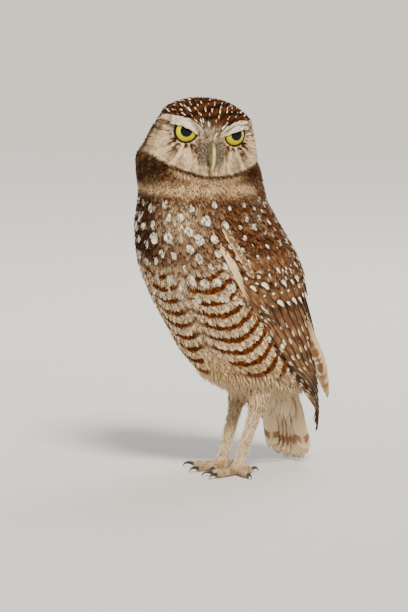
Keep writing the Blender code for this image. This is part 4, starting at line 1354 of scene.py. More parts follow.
def wing_coat(side):
    """All the flight feathers and coverts of one folded wing."""
    draw = np.random.default_rng({"left": 5, "right": 6}[side])
    coat = Coat(f"wing_{side}_feathers")
    total = sum(tier.count for tier in WING_TIERS)
    done = 0
    for tier in WING_TIERS:
        if tier.name == "tertial" and side == "right":
            continue
        path, normals = tier_paths(side, tier, draw, 12)
        index = np.arange(done, done + tier.count)
        done += tier.count
        flight = tier.name in FLIGHT_TIERS
        coat.add(path, normals, np.full(tier.count, tier.half * 1e-3), QUILL if flight else PLUME, 0.0,
                 atlas(index, total), draw, 10, 20 if flight else 10, thick=0.00022, camber=0.0006,
                 round_tip=0.22 if flight else 0.25, fray=0.35, shift=0.0,
                 tilt=tier.tilt * 1e-3 * SIGN[side], colours=wing_colours(tier.name, side))
    return coat


def tail_coat():
    """The closed fan of tail feathers with the coverts over and under their roots."""
    draw = np.random.default_rng(8)
    line = unit(TAIL_TIP - TAIL_ROOT)
    above = np.array((0, -line[2], line[1]))
    length = np.linalg.norm(TAIL_TIP - TAIL_ROOT)
    coat = Coat("tail_feathers")

    def paths(roots, tips, levels, steps):
        share = np.linspace(0, 1, steps + 1)[None, :, None]
        flat = roots[:, None] * (1 - share) + tips[:, None] * share
        lifted = levels[:, None, None] * np.ones_like(share)
        points = TAIL_ROOT + line * flat[..., :1] + above * lifted
        points[..., 0] += flat[..., 1]
        return points + OFFSET, np.broadcast_to(above, points.shape).copy()

    def tail_colours(points, u, v, chance):
        tone = np.stack((0.70 + 0.22 * ramp(u, 0.90, 0.97), 0.30 + 0 * u, 0.15 + 0.1 * chance), -1)
        bars = 0.75 * ramp(u, 0.62, 0.72) * ramp(u, 0.945, 0.91) * ramp(np.abs(v), 0.0, 0.35)
        return tone, bars, u * 4.0 + 0.60 + 0.12 * np.abs(v) + 0.10 * chance, np.full(u.shape, 9.0)

    roots, tips, levels = [], [], []
    for side in (1, -1):
        for k in range(TAIL_PAIRS):
            roots.append((0.003, side * 0.0015 * (k + 0.6)))
            tips.append((length + 0.0030 - 0.00022 * k * k, side * (0.0012 + 0.0026 * k)))
            levels.append(0.00085 * (1 if side > 0 and k == 0 else -k))
    count = len(roots)
    total = count + UNDER_COVERTS + UPPER_COVERTS
    path, normals = paths(np.array(roots), np.array(tips), np.array(levels), 12)
    coat.add(path, normals, np.full(count, 0.0065), (0.5, 0.8, 0.95, 1.0, 1.0, 0.98, 0.8), 0.0,
             atlas(np.arange(count), total), draw, 10, 18, thick=0.00022, camber=0.0002, round_tip=0.09,
             fray=0.5, colours=tail_colours, shift=0.0)

    def covert_colours(points, u, v, chance):
        tone = np.stack((0.80 + 0.2 * (chance - 0.5), 0.22 + 0 * u, 0.05 + 0 * u), -1)
        return tone, 0 * u, u * 3, np.full(u.shape, 9.0)

    for under, many, first in ((False, UPPER_COVERTS, count + UNDER_COVERTS), (True, UNDER_COVERTS, count)):
        lateral = draw.uniform(-1, 1, many)
        start = draw.uniform(-0.006, 0.021, many) if under else draw.uniform(0.0, 0.008, many)
        reach = draw.uniform(0.015, 0.022, many) if under else draw.uniform(0.014, 0.020, many)
        roots = np.stack((start, 0.0085 * lateral), -1)
        tips = np.stack((start + reach, 0.0115 * lateral), -1)
        levels = -0.0058 - 0.0012 * draw.random(many) if under else 0.0020 + 0.0008 * draw.random(many)
        path, normals = paths(roots, tips, levels, 6)
        if under:
            normals = -normals
        half = draw.uniform(0.0020, 0.0032, many) if under else np.full(many, 0.0036)
        coat.add(path, normals, half, PLUME, lambda u: -0.002 * (1 - ease(u * 1.5)),
                 atlas(np.arange(first, first + many), total), draw, 8, 8, camber=0.0008, fray=1.0,
                 round_tip=0.4, colours=covert_colours, shift=0.0)
    return coat


def skin_mesh():
    """The bird's skin: the outline drawn in by the coat's depth, with hollows for the eyes."""
    points, normals, faces, _ = outline()
    moved = points - normals * coat_depth(points)[:, None]
    before = local = to_head(moved)
    for side in (1, -1):
        axis = eye_axis(side)
        away = local - eye_centre(side)
        depth = away @ axis
        lateral = np.linalg.norm(away - axis * depth[:, None], axis=1)
        sunk = ramp(lateral, LID_RADIUS + 0.0006, LID_RADIUS - 0.0012) * (depth > -0.004)
        local = local - axis * (sunk * np.maximum(depth + 0.002, 0))[:, None]
    moved = np.where(before != local, from_head(local), moved)
    mesh = mesh_of("skin", moved, faces)
    tone, bars, place = markings(points)
    # These feather shares put the skin past the painted shade at the feathers' roots.
    still = np.zeros((len(points), 3)) + (0.6, 0.5, 0.5)
    store(mesh, "feather", still)
    store(mesh, "tone", tone)
    store(mesh, "mark", np.stack((spots()(points), bars, place), -1))
    flatten(mesh, unwrap(points))
    return smoothed(mesh)


class OWL_OT_skin(bpy.types.Operator):
    """The skin under the plumage"""

    bl_idname = "owl.skin"
    bl_label = "Skin"

    def execute(self, context):
        skin = new_object("skin", skin_mesh())
        put_on(skin, plumage("skin_down", 20.0),
               ["head", "neck", "torso", "thigh_left", "thigh_right"])
        return {"FINISHED"}


class OWL_OT_coat(bpy.types.Operator):
    """The small feathers of the head, body and thighs"""

    bl_idname = "owl.coat"
    bl_label = "Coat"

    def execute(self, context):
        material = plumage("contour_feathers")
        others = [brow_coat(), fringe_coat(np.random.default_rng(17)), down_coat(np.random.default_rng(12))]
        for coat in coats() + others:
            for piece in coat.pieces():
                put_on(piece, material)
        return {"FINISHED"}


class OWL_OT_wings(bpy.types.Operator):
    """Flight feathers and coverts of both folded wings"""

    bl_idname = "owl.wings"
    bl_label = "Wings"

    def execute(self, context):
        material = plumage("flight_feathers", 60.0, 0.8)
        for side in ("left", "right"):
            for piece in wing_coat(side).pieces():
                put_on(piece, material, [f"wing_{side}"])
        return {"FINISHED"}


class OWL_OT_tail(bpy.types.Operator):
    """Tail feathers and their coverts"""

    bl_idname = "owl.tail"
    bl_label = "Tail"

    def execute(self, context):
        for piece in tail_coat().pieces():
            put_on(piece, plumage("tail_vanes", 60.0, 0.8), ["tail"])
        return {"FINISHED"}


def eye_mesh(side, name):
    """An eyeball with its clear front bulging, and how far each point is from its axis."""
    rings, around = 48, 64
    lean = np.linspace(0.02, math.pi - 0.02, rings)[:, None]
    turn = circle(around)[None, :]
    radius = (EYE_RADIUS - 0.0001) * (1 + 0.035 * bump(lean, 0.62))
    across, up, axis, _ = eye_frame(side)
    spread_out = (radius * np.sin(lean))[..., None] * (
        np.cos(turn)[..., None] * across + np.sin(turn)[..., None] * up)
    local = spread_out + (radius * np.cos(lean))[..., None] * axis + 0 * turn[..., None]
    points, faces = loft(from_head(local + eye_centre(side)))
    mesh = outward(mesh_of(name, points, faces))
    away = to_head(vertices_of(mesh)) - eye_centre(side)
    store(mesh, "gaze", np.stack((away @ across, away @ up, away @ axis), -1) * 1000)
    return smoothed(mesh)


# Finishes that stay fixed on the eyes, lids, horn and legs, as the renderer's own colours
PUPIL, EYE_MARGIN, EYE_BACK = (0.004, 0.004, 0.005), (0.012, 0.010, 0.009), (0.02, 0.016, 0.014)
IRIS_FLECK, IRIS_LIMB = (0.42, 0.36, 0.015), (0.22, 0.18, 0.01)
# Black lid skin, also used as the painted shadow of the brow along the upper lid's margin
LID_BLACK_AND_SHADOW, LID_BROWN = (0.004, 0.0035, 0.003), (0.014, 0.011, 0.009)
BILL_ROOT, HORN_LINE = (0.05, 0.045, 0.035), (0.03, 0.025, 0.02)
CLAW_BLACK, CLAW_BROWN = (0.020, 0.016, 0.013), (0.045, 0.037, 0.030)
SCALE_GROOVE = (0.10, 0.08, 0.065)


def eye_material():
    """Wet eye: black pupil, yellow iris with fine spokes and a dark rim."""
    at = colours()
    paint = Paint("wet_eye", Coat_Weight=0.22, Coat_Roughness=0.02, Specular_IOR_Level=0.05)
    x, y, front = paint.parts(paint.attribute("gaze"))
    radius = (x * x + (y - 0.35) * (y - 0.35)) ** 0.5
    limb = (x * x + y * y) ** 0.5
    turn = y.of("ARCTAN2", x)
    spokes = paint.noise(paint.vector(turn * 9.0, limb * 0.6, 0.0), 1.0, 3.0, 0.6)
    specks = paint.noise(paint.vector(x, y, 0.0), 2.2, 3.0, 0.7)
    iris = paint.mixed(at.iris, at.iris_pale, (spokes * 1.3 - 0.2) * limb.step(3.0, 6.0))
    iris = paint.mixed(iris, IRIS_FLECK, specks.step(0.56, 0.70) * 0.55)
    iris = paint.mixed(iris, IRIS_LIMB, limb.step(5.2, 6.4) * 0.6)
    iris = paint.mixed(iris, PUPIL, radius.step(3.80, 3.50))
    iris = paint.mixed(iris, EYE_MARGIN, limb.step(6.15, 6.5))
    paint.set("Base Color", paint.mixed(EYE_BACK, iris, front.step(0.0, 0.6)))
    paint.set("Roughness", 0.10 + specks * 0.06)
    return paint.material


def lid_ring(side):
    """The dark rim round an eye, as points on the head's axes and quads."""
    across, up, axis, _ = eye_frame(side)
    major, minor = 64, 12
    turn = circle(major)
    away = np.cos(turn)[:, None] * across + np.sin(turn)[:, None] * up
    centre = eye_centre(side) + axis * math.sqrt(EYE_RADIUS**2 - LID_RADIUS**2)
    lean = circle(minor)
    thick = 0.00068 * (1 + 0.15 * np.sin(turn * 3 + 1))[:, None, None]
    points = centre + away[:, None] * (LID_RADIUS + thick * np.cos(lean)[None, :, None])
    points = points + axis * (thick * 1.2 * np.sin(lean)[None, :, None])
    index = np.arange(major * minor).reshape(major, minor)
    a, b = index, np.roll(index, -1, 0)
    quads = np.stack((a, b, np.roll(b, -1, 1), np.roll(a, -1, 1)), -1)
    return points.reshape(-1, 3), quads.reshape(-1, 4)


def upper_lid(side):
    """The upper lid as a thin shell over the eye, in points on the head's axes and quads."""
    across, up, axis, outer = eye_frame(side)
    share, rise = np.meshgrid(np.linspace(-1, 1, 25), np.linspace(0, 1, 9), indexing="ij")
    x = share * LID_HALF
    z = mix(lid_line(x * outer), 7.6, rise)
    lateral = np.hypot(x, z)
    scale = np.minimum(1, 7.3 / lateral)
    x, z, lateral = x * scale, z * scale, lateral * scale
    shells = []
    for radius in (8.75, 8.35):
        depth = np.sqrt(np.maximum(radius**2 - lateral**2, 0))
        local = (x[..., None] * across + z[..., None] * up + depth[..., None] * axis) * 1e-3
        shells.append((local + eye_centre(side)).reshape(-1, 3))
    size = share.size
    cells = np.arange(size).reshape(share.shape)
    top = np.stack((cells[:-1, :-1], cells[1:, :-1], cells[1:, 1:], cells[:-1, 1:]), -1).reshape(-1, 4)
    rim = np.concatenate((cells[0, :-1], cells[:-1, -1], cells[-1, :0:-1], cells[:0:-1, 0]))
    walls = np.stack((rim, np.roll(rim, -1), np.roll(rim, -1) + size, rim + size), -1)
    return np.concatenate(shells), np.concatenate((top, top[:, ::-1] + size, walls))


def lid_mesh(side, name):
    """The dark rim round an eye and the upper lid that the brow presses down on it."""
    points, faces = joined([lid_ring(side), upper_lid(side)])
    mesh = outward(mesh_of(name, from_head(points), faces))
    across, up, _, outer = eye_frame(side)
    local = to_head(vertices_of(mesh)) - eye_centre(side)
    x, z = local @ across * 1000, local @ up * 1000
    store(mesh, "lid", np.stack((z - lid_line(x * outer), 0 * x, 0 * x), -1))
    return smoothed(mesh)


def brow_coat():
    """White tufts over both upper lids, swept outwards and up along the brow."""
    draw = np.random.default_rng(15)
    coat = Coat("brow_tufts")
    for side in (1, -1):
        across, up, axis, outer = eye_frame(side)
        count = 210
        x = draw.uniform(-9.0, 6.5, count)
        z = lid_line(x) + 0.35 + draw.uniform(0.0, 1.0, count) ** 1.3 * 4.6
        slope = (LID_RISE - 2 * LID_SAG * x / LID_HALF) / LID_HALF
        lean = np.arctan(slope) + draw.normal(0.10, 0.10, count)
        along = np.linspace(0, 1, 4)[None, :] * draw.uniform(3.6, 5.4, count)[:, None]
        u, v = x[:, None] + along * np.cos(lean)[:, None], z[:, None] + along * np.sin(lean)[:, None]
        away = np.hypot(u, v)
        deep = np.where(away < 7.0, np.sqrt(np.maximum(9.1**2 - away**2, 0)), 5.81 - 0.55 * (away - 7.0))
        path = from_head((u[..., None] * outer * across + v[..., None] * up + deep[..., None] * axis) * 1e-3
                         + eye_centre(side))
        normal = unit(path - from_head(eye_centre(side)))
        tip = draw.uniform(0.0001, 0.0006, count)[:, None, None]
        coat.add(path, normal, draw.uniform(0.0004, 0.0006, count), TUFT, lambda s: -0.0003 + tip * s,
                 unwrap(path[:, 0]), draw, 2, 3, thick=0.00012, camber=0.00008, fray=0.2,
                 colours=brow_colours, shift=0.0)
    return coat


def brow_colours(points, u, v, chance):
    """Plain white, which the spots' colour gives."""
    return np.zeros(points.shape) + (1.0, 0.0, 0.0), 0 * u, 0 * u, 0 * u


def lid_material():
    """Black rim, and an upper lid with short pale feathers above its dark margin, which is black skin with
    painted shadow of the brow.
    """
    paint = Paint("lid_skin", Roughness=0.6, Specular_IOR_Level=0.1)
    grain = paint.noise(paint.place(), 2600.0, 3.0)
    above = paint.parts(paint.attribute("lid"))[0]
    # The dark rim and lid margin: black skin, with the brow's shadow painted along the upper lid.
    rim = paint.mixed(LID_BLACK_AND_SHADOW, LID_BROWN, grain)
    pale = above.step(0.35, 0.9) * (0.75 + grain * 0.4)
    paint.set("Base Color", paint.mixed(rim, colours().white, pale))
    paint.set("Normal", paint.bump(grain, 0.4, 0.0002))
    return paint.material


class OWL_OT_eyes(bpy.types.Operator):
    """Both eyes and their lids"""

    bl_idname = "owl.eyes"
    bl_label = "Eyes"

    def execute(self, context):
        wet, dark = eye_material(), lid_material()
        for side, name in ((1, "right"), (-1, "left")):
            eye = new_object(f"eyeball_{name}", eye_mesh(side, f"eyeball_{name}"))
            put_on(eye, wet, [f"eye_{name}"])
            lid = new_object(f"lid_{name}", lid_mesh(side, f"lid_{name}"))
            put_on(lid, dark)
        return {"FINISHED"}


# The bill: forward, up, half width and half height on the head's axes
UPPER_BILL = np.array((
    (0.0230, -0.0070, 0.0041, 0.0042),
    (0.0300, -0.0082, 0.0037, 0.0040),
    (0.0336, -0.0104, 0.0034, 0.0036),
    (0.0356, -0.0138, 0.0029, 0.0032),
    (0.0362, -0.0175, 0.0022, 0.0026),
    (0.0359, -0.0206, 0.0015, 0.0016),
    (0.0352, -0.0232, 0.0004, 0.0004),
))
LOWER_BILL = np.array((
    (0.0240, -0.0158, 0.0034, 0.0022),
    (0.0288, -0.0174, 0.0031, 0.0020),
    (0.0318, -0.0196, 0.0021, 0.0014),
    (0.0330, -0.0212, 0.0009, 0.0007),
))


NOSTRIL = np.array((0.0036, 0.0352, -0.0088))


def bill_mesh(name, rows, ridge):
    """One half of the bill. Where it has a ridge along its top, it has nostrils beside it."""
    keyed = np.column_stack((np.linspace(0, 1, len(rows)), rows))
    share = np.linspace(0, 1, 40)
    y, z, wide, high = between(keyed, share).T
    along = unit(np.stack((0 * y, np.gradient(y), np.gradient(z)), -1))
    out = np.stack((0 * y, -along[:, 2], along[:, 1]), -1)
    turn = circle(32)[None, :]
    top = np.cos(turn)
    pinch = 1 - ridge * np.maximum(top, 0) ** 2
    x = wide[:, None] * np.sin(turn) * pinch
    rise = high[:, None] * (top + 0.10 * ridge * np.maximum(top, 0) ** 6)
    centre = np.stack((0 * y, y, z), -1)
    ring = centre[:, None] + out[:, None] * rise[..., None]
    ring[..., 0] += x
    for side in (1, -1) if ridge > 0 else ():
        sunk = bump(np.linalg.norm(ring - NOSTRIL * (side, 1, 1), axis=-1), 0.0008)
        ring = ring - np.stack((side * 0.0007 * sunk, 0.0008 * sunk, 0 * sunk), -1)
    points, faces = loft(from_head(ring))
    mesh = outward(mesh_of(name, points, faces))
    store(mesh, "beak", to_head(vertices_of(mesh)) * 1000)
    return smoothed(mesh)


def horn(name, base, edge, ridge_colour=None):
    """Satin horn, with growth lines along it and a paler ridge on the bill."""
    paint = Paint(name, Coat_Weight=0.15, Coat_Roughness=0.3)
    lines = paint.noise(paint.place(), 900.0, 4.0, 0.6)
    cloud = paint.noise(paint.place(), 260.0, 2.0)
    tint = paint.mixed(base, edge, cloud.step(0.3, 0.75))
    if ridge_colour is not None:
        x, y, z = paint.parts(paint.attribute("beak"))
        ridge = x.size().step(1.3, 0.3) * y.step(32.0, 34.5)
        tint = paint.mixed(tint, ridge_colour, ridge * 0.85)
        tint = paint.mixed(tint, BILL_ROOT, z.step(-9.5, -7.0) * 0.6)
    paint.set("Base Color", paint.mixed(tint, HORN_LINE, lines.step(0.55, 0.8) * 0.35))
    paint.set("Normal", paint.bump(lines, 0.25, 0.0003))
    paint.set("Roughness", 0.30 + lines * 0.2)
    return paint.material


class OWL_OT_bill(bpy.types.Operator):
    """Both halves of the bill"""

    bl_idname = "owl.bill"
    bl_label = "Bill"

    def execute(self, context):
        at = colours()
        material = horn("bill_horn", at.bill, at.bill_dark, at.bill_ridge)
        for name, rows, ridge in (("bill_upper", UPPER_BILL, 0.35), ("bill_lower", LOWER_BILL, 0.0)):
            piece = new_object(f"horn_{name}", bill_mesh(f"horn_{name}", rows, ridge))
            put_on(piece, material, [name])
        return {"FINISHED"}


def foot_place(side):
    """The middle of a foot's sole on the floor."""
    place = SOLE * (SIGN[side], 1, 0)
    place[1] += STRIDE[side]
    return place + OFFSET * (1, 1, 0)


def toe_direction(side, heading):
    turn = math.radians(heading)
    return np.array((SIGN[side] * math.sin(turn), -math.cos(turn), 0))


def leg_mesh(side):
    """Shank and foot as one skin, with rows of scutes on the toes."""
    shapes = [node_shape(f"shank_{side}"), node_shape(f"foot_{side}")]
    mesh = fused(f"leg_{side}", shapes, 0.00042, 4)
    points, normals = vertices_of(mesh), vertices_of(mesh, "normal")
    away = points - foot_place(side)
    rise = np.zeros(len(points))
    pebbles = 0.00006 * smooth_noise(points, 0.0011, 31) * ramp(normals[:, 2], 0.2, -0.4)
    for _, heading, _, _ in TOES:
        forward = toe_direction(side, heading)
        along = away @ forward
        across = np.linalg.norm(away[:, :2] - along[:, None] * forward[:2], axis=1)
        on_toe = (across < 0.0031) & (along > 0.0045) & (points[:, 2] < 0.0062)
        scutes = 0.00016 * np.abs(np.sin(along / 0.0011 * math.pi)) ** 0.6 * ramp(normals[:, 2], 0.0, 0.5)
        rise = np.where(on_toe, scutes + pebbles, rise)
    points = points + normals * rise[:, None]
    points[:, 2] = np.maximum(points[:, 2], 0.0)
    move(mesh, points)
    return smoothed(mesh)


def leg_material():
    """Scaly grey-brown skin."""
    at = colours()
    paint = Paint("leg_skin", Specular_IOR_Level=0.4)
    pebble = paint.node("ShaderNodeTexVoronoi", {"feature": "DISTANCE_TO_EDGE"}, Vector=paint.place(),
                        Scale=1100.0, out="Distance")
    cloud = paint.noise(paint.place(), 300.0, 3.0)
    tint = paint.mixed(at.leg, at.leg_dark, cloud.step(0.35, 0.7))
    paint.set("Base Color", paint.mixed(SCALE_GROOVE, tint, pebble.step(0.0, 0.10) * 0.7 + 0.3))
    paint.set("Normal", paint.bump(pebble.step(0.0, 0.12), 0.6, 0.0002))
    paint.set("Roughness", 0.5 + cloud * 0.3)
    return paint.material


def claw_mesh(side, toe):
    """A finer claw on the CAD claw's own curve."""
    name, heading, length, reach = toe
    forward = toe_direction(side, heading)
    base = foot_place(side) + forward * (0.002 + length - 0.0003)
    share = np.linspace(0, 1, 22)
    height = 0.0021 + 0.0012 * np.sin(math.pi * share) - 0.0015 * share**2
    path = base + forward * (reach * np.sin(share * 1.35) / math.sin(1.35) * 0.975)[:, None]
    path[:, 2] += height
    radius = mix(0.0012, 0.00016, share**1.15)
    along = unit(np.gradient(path, axis=0))
    across = unit(np.cross(along, (0, 0, 1)))
    up = np.cross(across, along)
    turn = circle(20)[None, :, None]
    oval = np.cos(turn) * across[:, None] * 0.85 + np.sin(turn) * up[:, None] * 1.1
    points, faces = loft(path[:, None] + oval * radius[:, None, None])
    points[:, 2] = np.maximum(points[:, 2], 0.0001)
    return smoothed(outward(mesh_of(f"horn_claw_{side}_{name}", points, faces)))


class OWL_OT_legs(bpy.types.Operator):
    """Shanks, feet and claws"""

    bl_idname = "owl.legs"
    bl_label = "Legs"

    def execute(self, context):
        skin = leg_material()
        claw = horn("claw_horn", CLAW_BLACK, CLAW_BROWN)
        for side in ("left", "right"):
            put_on(new_object(f"leg_{side}", leg_mesh(side)), skin,
                   [f"shank_{side}", f"foot_{side}"])
            for toe in TOES:
                made = new_object(f"horn_claw_{side}_{toe[0]}", claw_mesh(side, toe))
                put_on(made, claw, [f"claw_{side}_{toe[0]}"])
        return {"FINISHED"}


def bristle_tree(name, material):
    """Geometry nodes that stand bristles on a surface, along the directions that it carries."""
    tree = bpy.data.node_groups.new(name, "GeometryNodeTree")
    face = tree.interface
    face.new_socket("Geometry", in_out="INPUT", socket_type="NodeSocketGeometry")
    sockets = {}
    for label, value in (("Spacing", 0.001), ("Length", 0.004), ("Radius", 0.0001)):
        socket = face.new_socket(label, in_out="INPUT", socket_type="NodeSocketFloat")
        socket.default_value = value
        sockets[label] = socket.identifier
    face.new_socket("Geometry", in_out="OUTPUT", socket_type="NodeSocketGeometry")

    def node(kind, settings, *values, **named):
        return add_node(tree, kind, settings, values, named)

    out = node("NodeGroupInput", {}).outputs
    points = node("GeometryNodeDistributePointsOnFaces", {"distribute_method": "POISSON"},
                  Mesh=out["Geometry"], Distance_Min=out["Spacing"], Density_Max=3.0e6, Seed=4)
    cone = node("GeometryNodeMeshCone", {"fill_type": "TRIANGLE_FAN"}, Vertices=4, Side_Segments=2,
                Radius_Top=0.08, Radius_Bottom=1.0, Depth=1.0)
    way = node("GeometryNodeInputNamedAttribute", {"data_type": "FLOAT_VECTOR"}, Name="way")
    shake = node("FunctionNodeRandomValue", {"data_type": "FLOAT_VECTOR"}, Seed=7)
    shake.inputs[0].default_value, shake.inputs[1].default_value = (-0.35,) * 3, (0.35,) * 3
    turned = node("ShaderNodeVectorMath", {"operation": "ADD"}, way.outputs["Attribute"], shake.outputs[0])
    align = node("FunctionNodeAlignRotationToVector", {"axis": "Z"}, Vector=turned.outputs[0])
    long = node("FunctionNodeRandomValue", {"data_type": "FLOAT"}, Seed=9)
    long.inputs[2].default_value, long.inputs[3].default_value = 0.6, 1.25
    tall = node("ShaderNodeMath", {"operation": "MULTIPLY"}, long.outputs[1], out["Length"])
    scale = node("ShaderNodeCombineXYZ", {}, out["Radius"], out["Radius"], tall.outputs[0])
    stand = node("GeometryNodeInstanceOnPoints", {}, Points=points.outputs["Points"],
                 Instance=cone.outputs["Mesh"], Rotation=align.outputs[0], Scale=scale.outputs[0])
    real = node("GeometryNodeRealizeInstances", {}, Geometry=stand.outputs[0])
    finish = node("GeometryNodeSetMaterial", {}, Geometry=real.outputs[0], Material=material)
    node("NodeGroupOutput", {}, Geometry=finish.outputs[0])
    return tree, sockets


# A bristle is a cone with three rings of four points and a point at each end
BRISTLE_POINTS = 14


def bristles(name, mesh, material, spacing, length, radius):
    """A piece of bristles over a mesh that carries their directions."""
    tree, sockets = bristle_tree(name, material)
    made = new_object(name, mesh)
    change = made.modifiers.new("bristles", "NODES")
    change.node_group = tree
    for label, value in (("Spacing", spacing), ("Length", length), ("Radius", radius)):
        change[sockets[label]] = value
    done = plain(made)
    made.modifiers.clear()
    made.data = done
    if len(done.vertices) % BRISTLE_POINTS:
        raise RuntimeError(f"a bristle isn't made of {BRISTLE_POINTS} points")
    roots = vertices_of(done).reshape(-1, BRISTLE_POINTS, 3).mean(1)
    order = np.arange(BRISTLE_POINTS)
    patch = np.stack((((order + 3) % 4 - 1.5) / 4, ((order + 3) // 4 - 2.0) / 4), -1) * TUFT_PATCH
    flatten(done, (unwrap(roots)[:, None] + patch).reshape(-1, 2))
    return made


def bristle_ground(points, faces, ways, keep):
    """The part of a surface that bristles stand on, with their directions."""
    used = keep[faces].all(1)
    index, corners = np.unique(faces[used], return_inverse=True)
    mesh = mesh_of("bristle_ground", points[index], corners.reshape(-1, 3))
    store(mesh, "way", ways[index])
    return mesh


def bill_surround():
    """The skin on both sides of the bill, with directions that sweep forward and down over it."""
    points, normals, faces, _ = outline()
    x, y, z, side, _ = head_place(points)
    near = (side > 0.0018) & (side < 0.0095) & (z < -0.003) & (z > -0.018) & (y > 0.020)
    inward = np.where(x < 0, 0.36, -0.36)
    way = np.stack((inward, 0.62 + 0 * side, -0.70 + 0 * side), -1) @ head_axes()
    return bristle_ground(points - normals * 0.0006, faces, unit(way + 0.15 * normals), near)


def leg_surface(side):
    """A finished leg above its sole, with directions down the shank and a little outwards."""
    mesh = bpy.data.objects[f"leg_{side}"].data
    points, normals = vertices_of(mesh), vertices_of(mesh, "normal")
    down = unit(SOLE - ANKLE) * (SIGN[side], 1, 1)
    way = unit(down + normals * 0.36)
    return bristle_ground(points, corners_of(mesh).reshape(-1, 3), way, points[:, 2] > 0.0062)


def bristle_material(name, first, second):
    """Two tones of bristle that change from place to place."""
    paint = Paint(name, Roughness=0.7, Specular_IOR_Level=0.3)
    tint = paint.noise(paint.place(), 700.0, 2.0)
    paint.set("Base Color", paint.mixed(first, second, tint.step(0.35, 0.65)))
    return paint.material


class OWL_OT_bristles(bpy.types.Operator):
    """Bristles round the bill and on the shanks and toes"""

    bl_idname = "owl.bristles"
    bl_label = "Bristles"

    def execute(self, context):
        at, sizes = colours(), context.scene.owl_bristles
        dark = bristle_material("bill_bristle", at.bill_bristle, at.bill_bristle_pale)
        put_on(bristles("bill_bristles", bill_surround(), dark, *sizes.bill), dark)
        pale = bristle_material("leg_bristle", at.leg_bristle, at.leg_bristle_dark)
        for leg in ("left", "right"):
            made = bristles(f"shank_bristles_{leg}", leg_surface(leg), pale, *sizes.leg)
            put_on(made, pale)
        return {"FINISHED"}


# What the camera and the lamps look at, and how much of the scene the picture's longer side spans there
AIM, PICTURE_SPAN, SENSOR = Vector((-0.0120, -0.0108, 0.1037)), 0.3794, 36.0
# name, kind, azimuth, elevation, distance, size (an angle for the sun), power, tint
LAMPS = (
    ("key", "SUN", 56, 46, 1.3, 0.26, 5.9, (1.0, 0.92, 0.80)),
    ("fill", "AREA", -20, 12, 1.6, 1.3, 12.0, (1.0, 0.94, 0.85)),
    ("back", "AREA", 200, 45, 1.4, 0.9, 13.0, (1.0, 0.98, 0.95)),
)
PAPER, PAPER_LIGHT, SKY, SKY_POWER = (0.60, 0.59, 0.57), (0.64, 0.63, 0.61), (0.97, 0.97, 1.0, 1), 0.43
FLOOR_HALF = 40


def watcher(name, thing, azimuth, elevation, distance):
    """A lamp or a camera that looks at the bird from that side, with angles in degrees."""
    a, e = math.radians(azimuth), math.radians(elevation)
    back = Vector((math.sin(a) * math.cos(e), -math.cos(a) * math.cos(e), math.sin(e)))
    made = new_object(name, thing)
    made.location = AIM + back * distance
    made.rotation_euler = back.to_track_quat("Z", "Y").to_euler()
    return made


def lay_floor():
    corners = [(x, y, 0) for x, y in ((-1, -1), (1, -1), (1, 1), (-1, 1))]
    floor = new_object("floor", mesh_of("floor", np.array(corners) * FLOOR_HALF, [(0, 1, 2, 3)]))
    paint = Paint("floor_paper", Roughness=0.9, Specular_IOR_Level=0.2)
    grain = paint.noise(paint.place(), 60.0, 3.0)
    paint.set("Base Color", paint.mixed(PAPER, PAPER_LIGHT, grain))
    floor.data.materials.append(paint.material)


def hang_lamps(strength):
    for name, kind, azimuth, elevation, distance, size, power, tint in LAMPS:
        lamp = bpy.data.lights.new(name, kind)
        lamp.energy, lamp.color = power * strength, tint
        if kind == "SUN":
            lamp.angle = size
        else:
            lamp.shape, lamp.size = "DISK", size
        made = watcher(name, lamp, azimuth, elevation, distance)
        made.visible_glossy = kind == "SUN"


class OWL_OT_stage(bpy.types.Operator):
    """Floor, lights and camera"""

    bl_idname = "owl.stage"
    bl_label = "Stage"

    def execute(self, context):
        at = context.scene.owl_stage
        lay_floor()
        hang_lamps(at.light)
        world = bpy.data.worlds.new("studio")
        world.use_nodes = True
        sky = world.node_tree.nodes["Background"].inputs
        sky[0].default_value, sky[1].default_value = SKY, SKY_POWER
        context.scene.world = world
        camera = bpy.data.cameras.new("camera")
        camera.sensor_width = SENSOR
        camera.lens = SENSOR * at.distance / PICTURE_SPAN
        camera.clip_end = 50.0
        context.scene.camera = watcher("camera", camera, at.azimuth, at.elevation, at.distance)
        return {"FINISHED"}


def shade(name, about, *rgb):
    """A colour that a user can change, with its default as 0 to 255 on a screen."""
    return bpy.props.FloatVectorProperty(
        name=name, description=about, subtype="COLOR", size=3, min=0, max=1, default=srgb(*rgb)
    )


def bristle_sizes(name, *lengths):
    """Spacing, length and root radius of a kind of bristle, which a user can change."""
    return bpy.props.FloatVectorProperty(
        name=name, description="Spacing, length and root radius", size=3, min=1e-5, precision=5,
        unit="LENGTH", default=lengths
    )


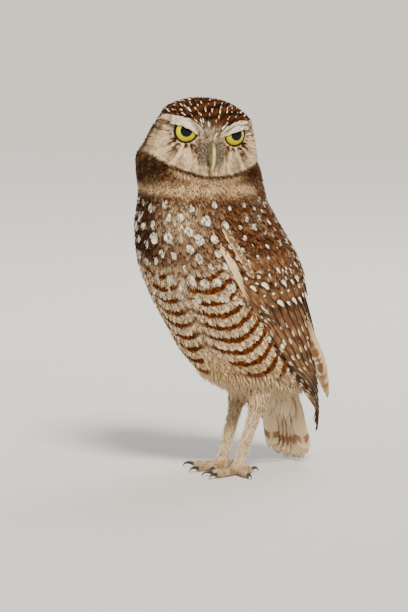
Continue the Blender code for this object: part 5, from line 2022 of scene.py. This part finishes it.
class OwlColours(bpy.types.PropertyGroup):
    """Colours of the plumage, eyes, bill, legs and bristles"""

    brown: shade("Brown", "Ground of the breast and back", 84, 45, 19)
    rufous: shade("Rufous", "Warm brown of the crown and wings", 122, 62, 24)
    umber: shade("Umber", "Dark brown of bars and shaded feathers", 30, 12, 3)
    buff: shade("Buff", "Warm pale ground", 228, 176, 106)
    white: shade("White", "Pale ground of belly and face", 244, 227, 194)
    spot: shade("Spot", "White spots", 247, 235, 212)
    bar: shade("Bar", "Bars on the belly", 118, 60, 20)
    iris: shade("Iris", "Deep yellow of the iris", 196, 176, 0)
    iris_pale: shade("Pale iris", "Bright yellow of the iris", 230, 218, 3)
    leg: shade("Leg", "Skin of the legs", 182, 156, 116)
    leg_dark: shade("Dark leg", "Dark skin of the legs", 126, 102, 72)
    bill: shade("Bill", "Horn of the bill", 104, 95, 60)
    bill_dark: shade("Dark bill", "Dark clouds in the bill's horn", 64, 58, 38)
    bill_ridge: shade("Bill ridge", "Pale ridge of the bill", 206, 186, 116)
    bill_bristle: shade("Bill bristle", "Dark bristles beside the bill", 52, 38, 26)
    bill_bristle_pale: shade("Pale bill bristle", "Pale bristles beside the bill", 176, 160, 136)
    leg_bristle: shade("Leg bristle", "Pale bristles on the legs", 228, 211, 180)
    leg_bristle_dark: shade("Dark leg bristle", "Dark bristles on the legs", 176, 154, 118)


class OwlBristles(bpy.types.PropertyGroup):
    """Sizes of the bristles"""

    bill: bristle_sizes("Beside the bill", 0.00048, 0.0068, 0.00015)
    leg: bristle_sizes("On the legs", 0.00070, 0.0031, 0.00021)


class OwlStage(bpy.types.PropertyGroup):
    """Camera and lights"""

    azimuth: bpy.props.FloatProperty(name="Azimuth", description="Camera's bearing in degrees", default=42)
    elevation: bpy.props.FloatProperty(name="Elevation", description="Camera's height in degrees", default=7)
    distance: bpy.props.FloatProperty(
        name="Distance", description="Camera's distance", default=3.5, min=0.5, unit="LENGTH")
    light: bpy.props.FloatProperty(name="Light", description="Strength of all lamps", default=1.0, min=0)


OPERATORS = (OWL_OT_skin, OWL_OT_coat, OWL_OT_wings, OWL_OT_tail, OWL_OT_eyes, OWL_OT_bill, OWL_OT_legs,
             OWL_OT_bristles, OWL_OT_stage)


class OWL_PT_panel(bpy.types.Panel):
    """Lists the steps that build the owl"""

    bl_label = "Burrowing owl"
    bl_space_type = "VIEW_3D"
    bl_region_type = "UI"
    bl_category = "Owl"

    def draw(self, context):
        for operator in OPERATORS:
            self.layout.operator(operator.bl_idname)
        for group in (context.scene.owl_colours, context.scene.owl_bristles, context.scene.owl_stage):
            for name in group.__annotations__:
                self.layout.prop(group, name)


CLASSES = (OwlColours, OwlBristles, OwlStage, *OPERATORS, OWL_PT_panel)


def register():
    for item in CLASSES:
        bpy.utils.register_class(item)
    bpy.types.Scene.owl_colours = bpy.props.PointerProperty(type=OwlColours)
    bpy.types.Scene.owl_bristles = bpy.props.PointerProperty(type=OwlBristles)
    bpy.types.Scene.owl_stage = bpy.props.PointerProperty(type=OwlStage)


def unregister():
    del bpy.types.Scene.owl_colours, bpy.types.Scene.owl_bristles, bpy.types.Scene.owl_stage
    for item in reversed(CLASSES):
        bpy.utils.unregister_class(item)


def main():
    register()
    for operator in OPERATORS:
        group, name = operator.bl_idname.split(".")
        getattr(getattr(bpy.ops, group), name)()


if __name__ == "__main__":
    main()
